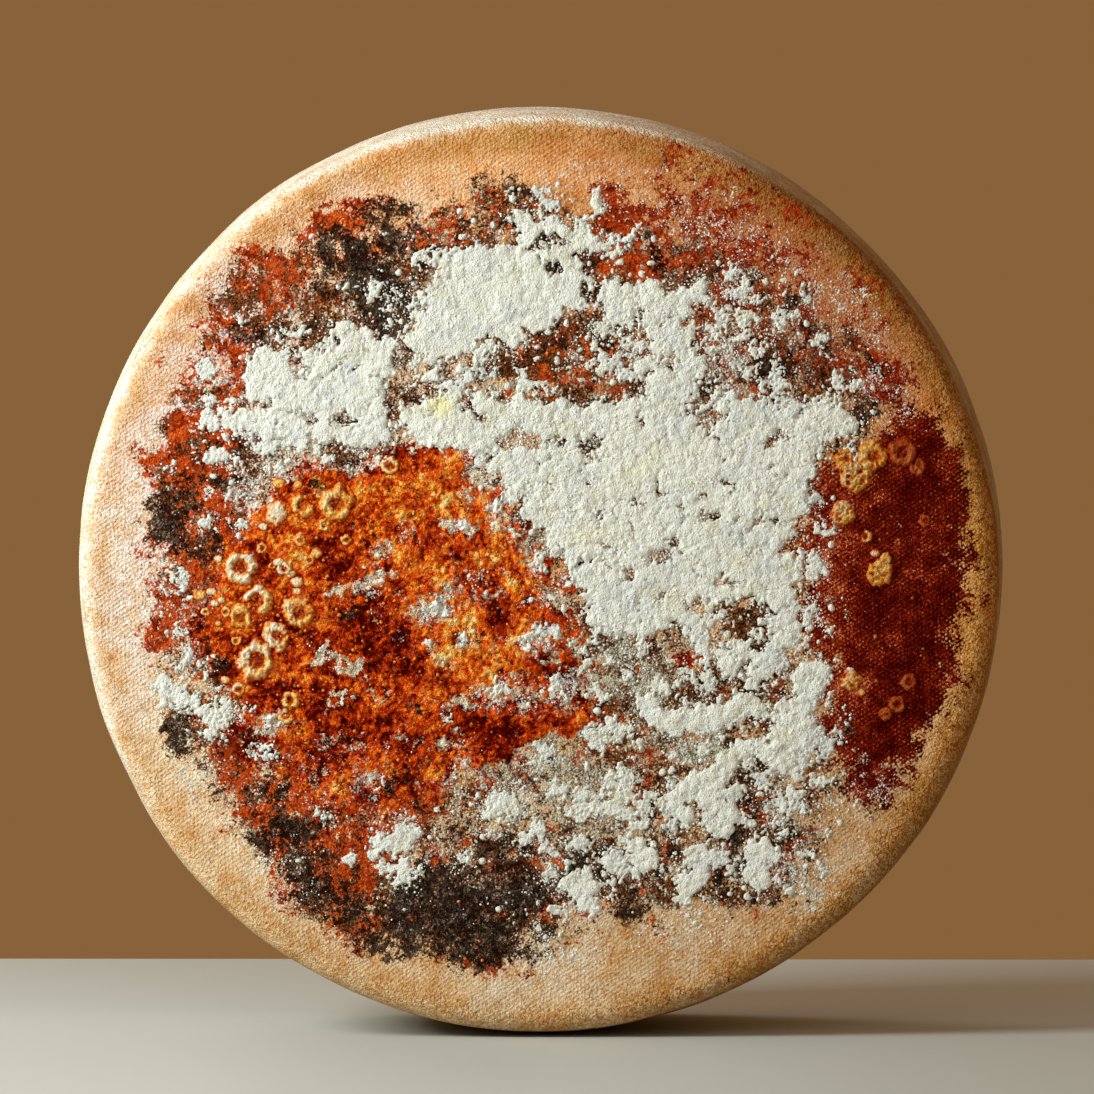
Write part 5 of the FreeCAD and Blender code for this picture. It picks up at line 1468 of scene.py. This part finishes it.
def back_cover(x, y):
    """Cover of the white on the back, ragged and open like the front's."""
    w = cover(*warp(x, y, 22, 10, 211), (), B_WHITE, 12)
    loose = cover(*warp(x, y, 26, 12, 219), (), [(530, 545, 270, 250, 0, .50)], 70)
    loose *= 1 - 0.75 * cover(*warp(x, y, 16, 6, 241), (), B_CRUST, 14)
    loose = 0.93 * loose + 0.46 * fbm(x, y, 17, 5, 221, 0.70) * step(0.02, 0.25, loose)
    w = np.maximum(w, loose)
    hole = step(0.30, 0.70, fbm(x, y, 10, 4, 213, 0.68))
    return np.clip(w + 0.32 * fbm(x, y, 14, 5, 223, 0.70) * step(0.02, 0.3, w)
                   - 0.55 * hole * step(0.2, 0.6, w), 0, 1.1)


def back_ground(u, v):
    x, y = to_layout(u, v)
    ax, ay = warp(x, y, 16, 6, 241)
    bx, by = warp(x, y, 18, 7, 257)
    n = len(x)
    f = plain_attrs(n)
    f["org"] = cover(ax, ay, (), B_CRUST, 14)
    f["red"] = cover(bx, by, (), B_RED, 34)
    f["blk"] = cover(ax, ay, (), B_BLACK, 18)
    near = step(0.05, 0.60, back_cover(x, y))
    inner = cover(*warp(x, y, 34, 18, 265), (), [(530, 556, 300, 280, 0, 1.0)], 70)
    free = inner * (1 - 0.9 * f["org"])
    mottle = [0.5 + 0.5 * fbm(x, y, 30, 4, 271 + k) for k in range(5)]
    f["brn"] = free * (0.16 + 0.42 * mottle[0])
    f["olv"] = np.maximum(0.5 * near, free * (0.10 + 0.40 * mottle[1]))
    f["red"] = np.clip(np.maximum(f["red"], free * (0.08 + 0.56 * mottle[2])), 0, 1)
    f["blk"] = np.clip(np.maximum(f["blk"], free * (0.04 + 0.40 * mottle[3])), 0, 0.95)
    f["gry"] = np.maximum(0.3 * near, free * (0.06 + 0.30 * mottle[4]))
    f["gold"] = f["org"] * (0.4 + 0.4 * fbm(x, y, 22, 2, 277))
    f["deep"] = f["org"] * (0.4 + 0.4 * fbm(x, y, 18, 2, 279))
    f["wht"] = np.clip(0.42 * near + 0.16 * inner, 0, 0.5)
    body = np.maximum.reduce([f["org"], f["red"], f["blk"], near])
    f["cloth"] = np.clip(1.0 - 1.1 * body, 0, 1) * step(8, 30, np.hypot(u, v))
    return f


ub, vb = disc_points(BACK_R, 190)
gb = back_ground(ub, vb)
hb = 0.12 * fbm(ub, vb, 3.2, 3, 201) + 0.45 * gb["org"] * (0.5 + fbm(ub, vb, 4.2, 3, 203))
hb *= 1 - step(BACK_R - 3, BACK_R, np.hypot(ub, vb))
back = make_mesh("rind_back", on_back(ub, vb, hb), grid_faces(191, 191)[:, ::-1], RIND,
                 floats=gb, colours={"ring": ring_tone(-ub, vb, 3)})
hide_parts("wheel")

bw = Relief((-100, -104), (100, 108), 0.62, -0.7, seed=9)
wb = back_cover(bw.x, bw.y)
massb = step(0.46, 0.70, wb)
bw.h = -0.7 + massb * (1.25 + 0.3 * fbm(bw.u, bw.v, 9, 3, 215) + 0.3 * fbm(bw.u, bw.v, 2.8, 3, 217))
a, b, rs = scatter(1.7, 112, SEED + 9)
px, py = to_layout(a, b)
wa = back_cover(px, py)
keep = wa > rs.uniform(0.30, 0.9, len(a))
size = 0.6 + 1.0 * rs.rand(len(a)) ** 1.5
for u, v, r, c in zip(a[keep], b[keep], size[keep], wa[keep]):
    bw.cap(u, v, r, 0.35 * r + 0.16, -0.05 + 0.7 * float(step(0.5, 0.95, c)))
make_mesh("mould_white_back", on_back(bw.u.ravel(), bw.v.ravel(), bw.h.ravel()),
          bw.faces(0.0)[:, ::-1], WHITE,
          floats={"thin_and_hollow_shade": np.clip(1 - step(0.5, 1.0, wb), 0, 1).ravel(),
                  "lemon": np.zeros(bw.u.size)})

# ------------------------------------------------------------------- stage
def plain_material(name, colour, rough):
    t = Tree(name)
    return t.finish(colour, rough, 0.4)


bpy.ops.mesh.primitive_plane_add(size=1)
floor = bpy.context.object
floor.name = "floor"
floor.scale = (4.0, 4.0, 1)
floor.location = (0, 0.272 - 2.0, 0)
floor.data.materials.append(plain_material("pale_floor", (0.50, 0.53, 0.49), 0.5))

world = bpy.data.worlds.new("studio")
bpy.context.scene.world = world
world.use_nodes = True
world.node_tree.nodes["Background"].inputs["Color"].default_value = (0.245, 0.122, 0.042, 1)
world.node_tree.nodes["Background"].inputs["Strength"].default_value = 1.0


def area_light(name, at, aim, size, power, colour=(1, 1, 1), tall=None):
    d = bpy.data.lights.new(name, "AREA")
    d.energy, d.color = power, colour
    d.shape = "RECTANGLE"
    d.size, d.size_y = size, tall or size
    o = bpy.data.objects.new(name, d)
    o.location = at
    o.rotation_mode = "QUATERNION"
    o.rotation_quaternion = (Vector(aim) - Vector(at)).to_track_quat("-Z", "Y")
    bpy.context.scene.collection.objects.link(o)
    return o


area_light("key", (-0.74, -0.42, 0.56), (0.0, -0.05, 0.13), 0.40, 11.2, (0.915, 1.0, 1.01))
area_light("fill", (-0.55, -1.8, 0.75), (0.0, 0.0, 0.13), 1.2, 8.8, (0.915, 1.0, 1.02))
area_light("back_fill", (-0.9, 1.4, 1.0), (0.0, 0.05, 0.13), 1.0, 9.0, (1.0, 0.97, 0.92))

# ------------------------------------------------------------------ camera
AZ, EL, FOCAL, RANGE = math.radians(0.83), math.radians(1.97), 12307.0, 3.42
face = Vector((0.0, -HALF_T * MM, AXIS_Z * MM))
back_dir = Vector((math.sin(AZ) * math.cos(EL), -math.cos(AZ) * math.cos(EL), math.sin(EL)))
turn = (-back_dir).to_track_quat("-Z", "Y")
right, up = turn @ Vector((1, 0, 0)), turn @ Vector((0, 1, 0))
aim = (face - right * ((LX - 547.0) / FOCAL * RANGE)
       + up * ((LY - 547.0) / FOCAL * RANGE))
cam_data = bpy.data.cameras.new("camera")
cam_data.sensor_width = 36.0
cam_data.lens = FOCAL / 1094.0 * 36.0
cam_data.clip_start, cam_data.clip_end = 0.05, 60.0
cam = bpy.data.objects.new("camera", cam_data)
cam.rotation_mode = "QUATERNION"
cam.rotation_quaternion = turn
cam.location = aim + back_dir * RANGE
bpy.context.scene.collection.objects.link(cam)
bpy.context.scene.camera = cam
bpy.context.scene.view_settings.view_transform = "Standard"
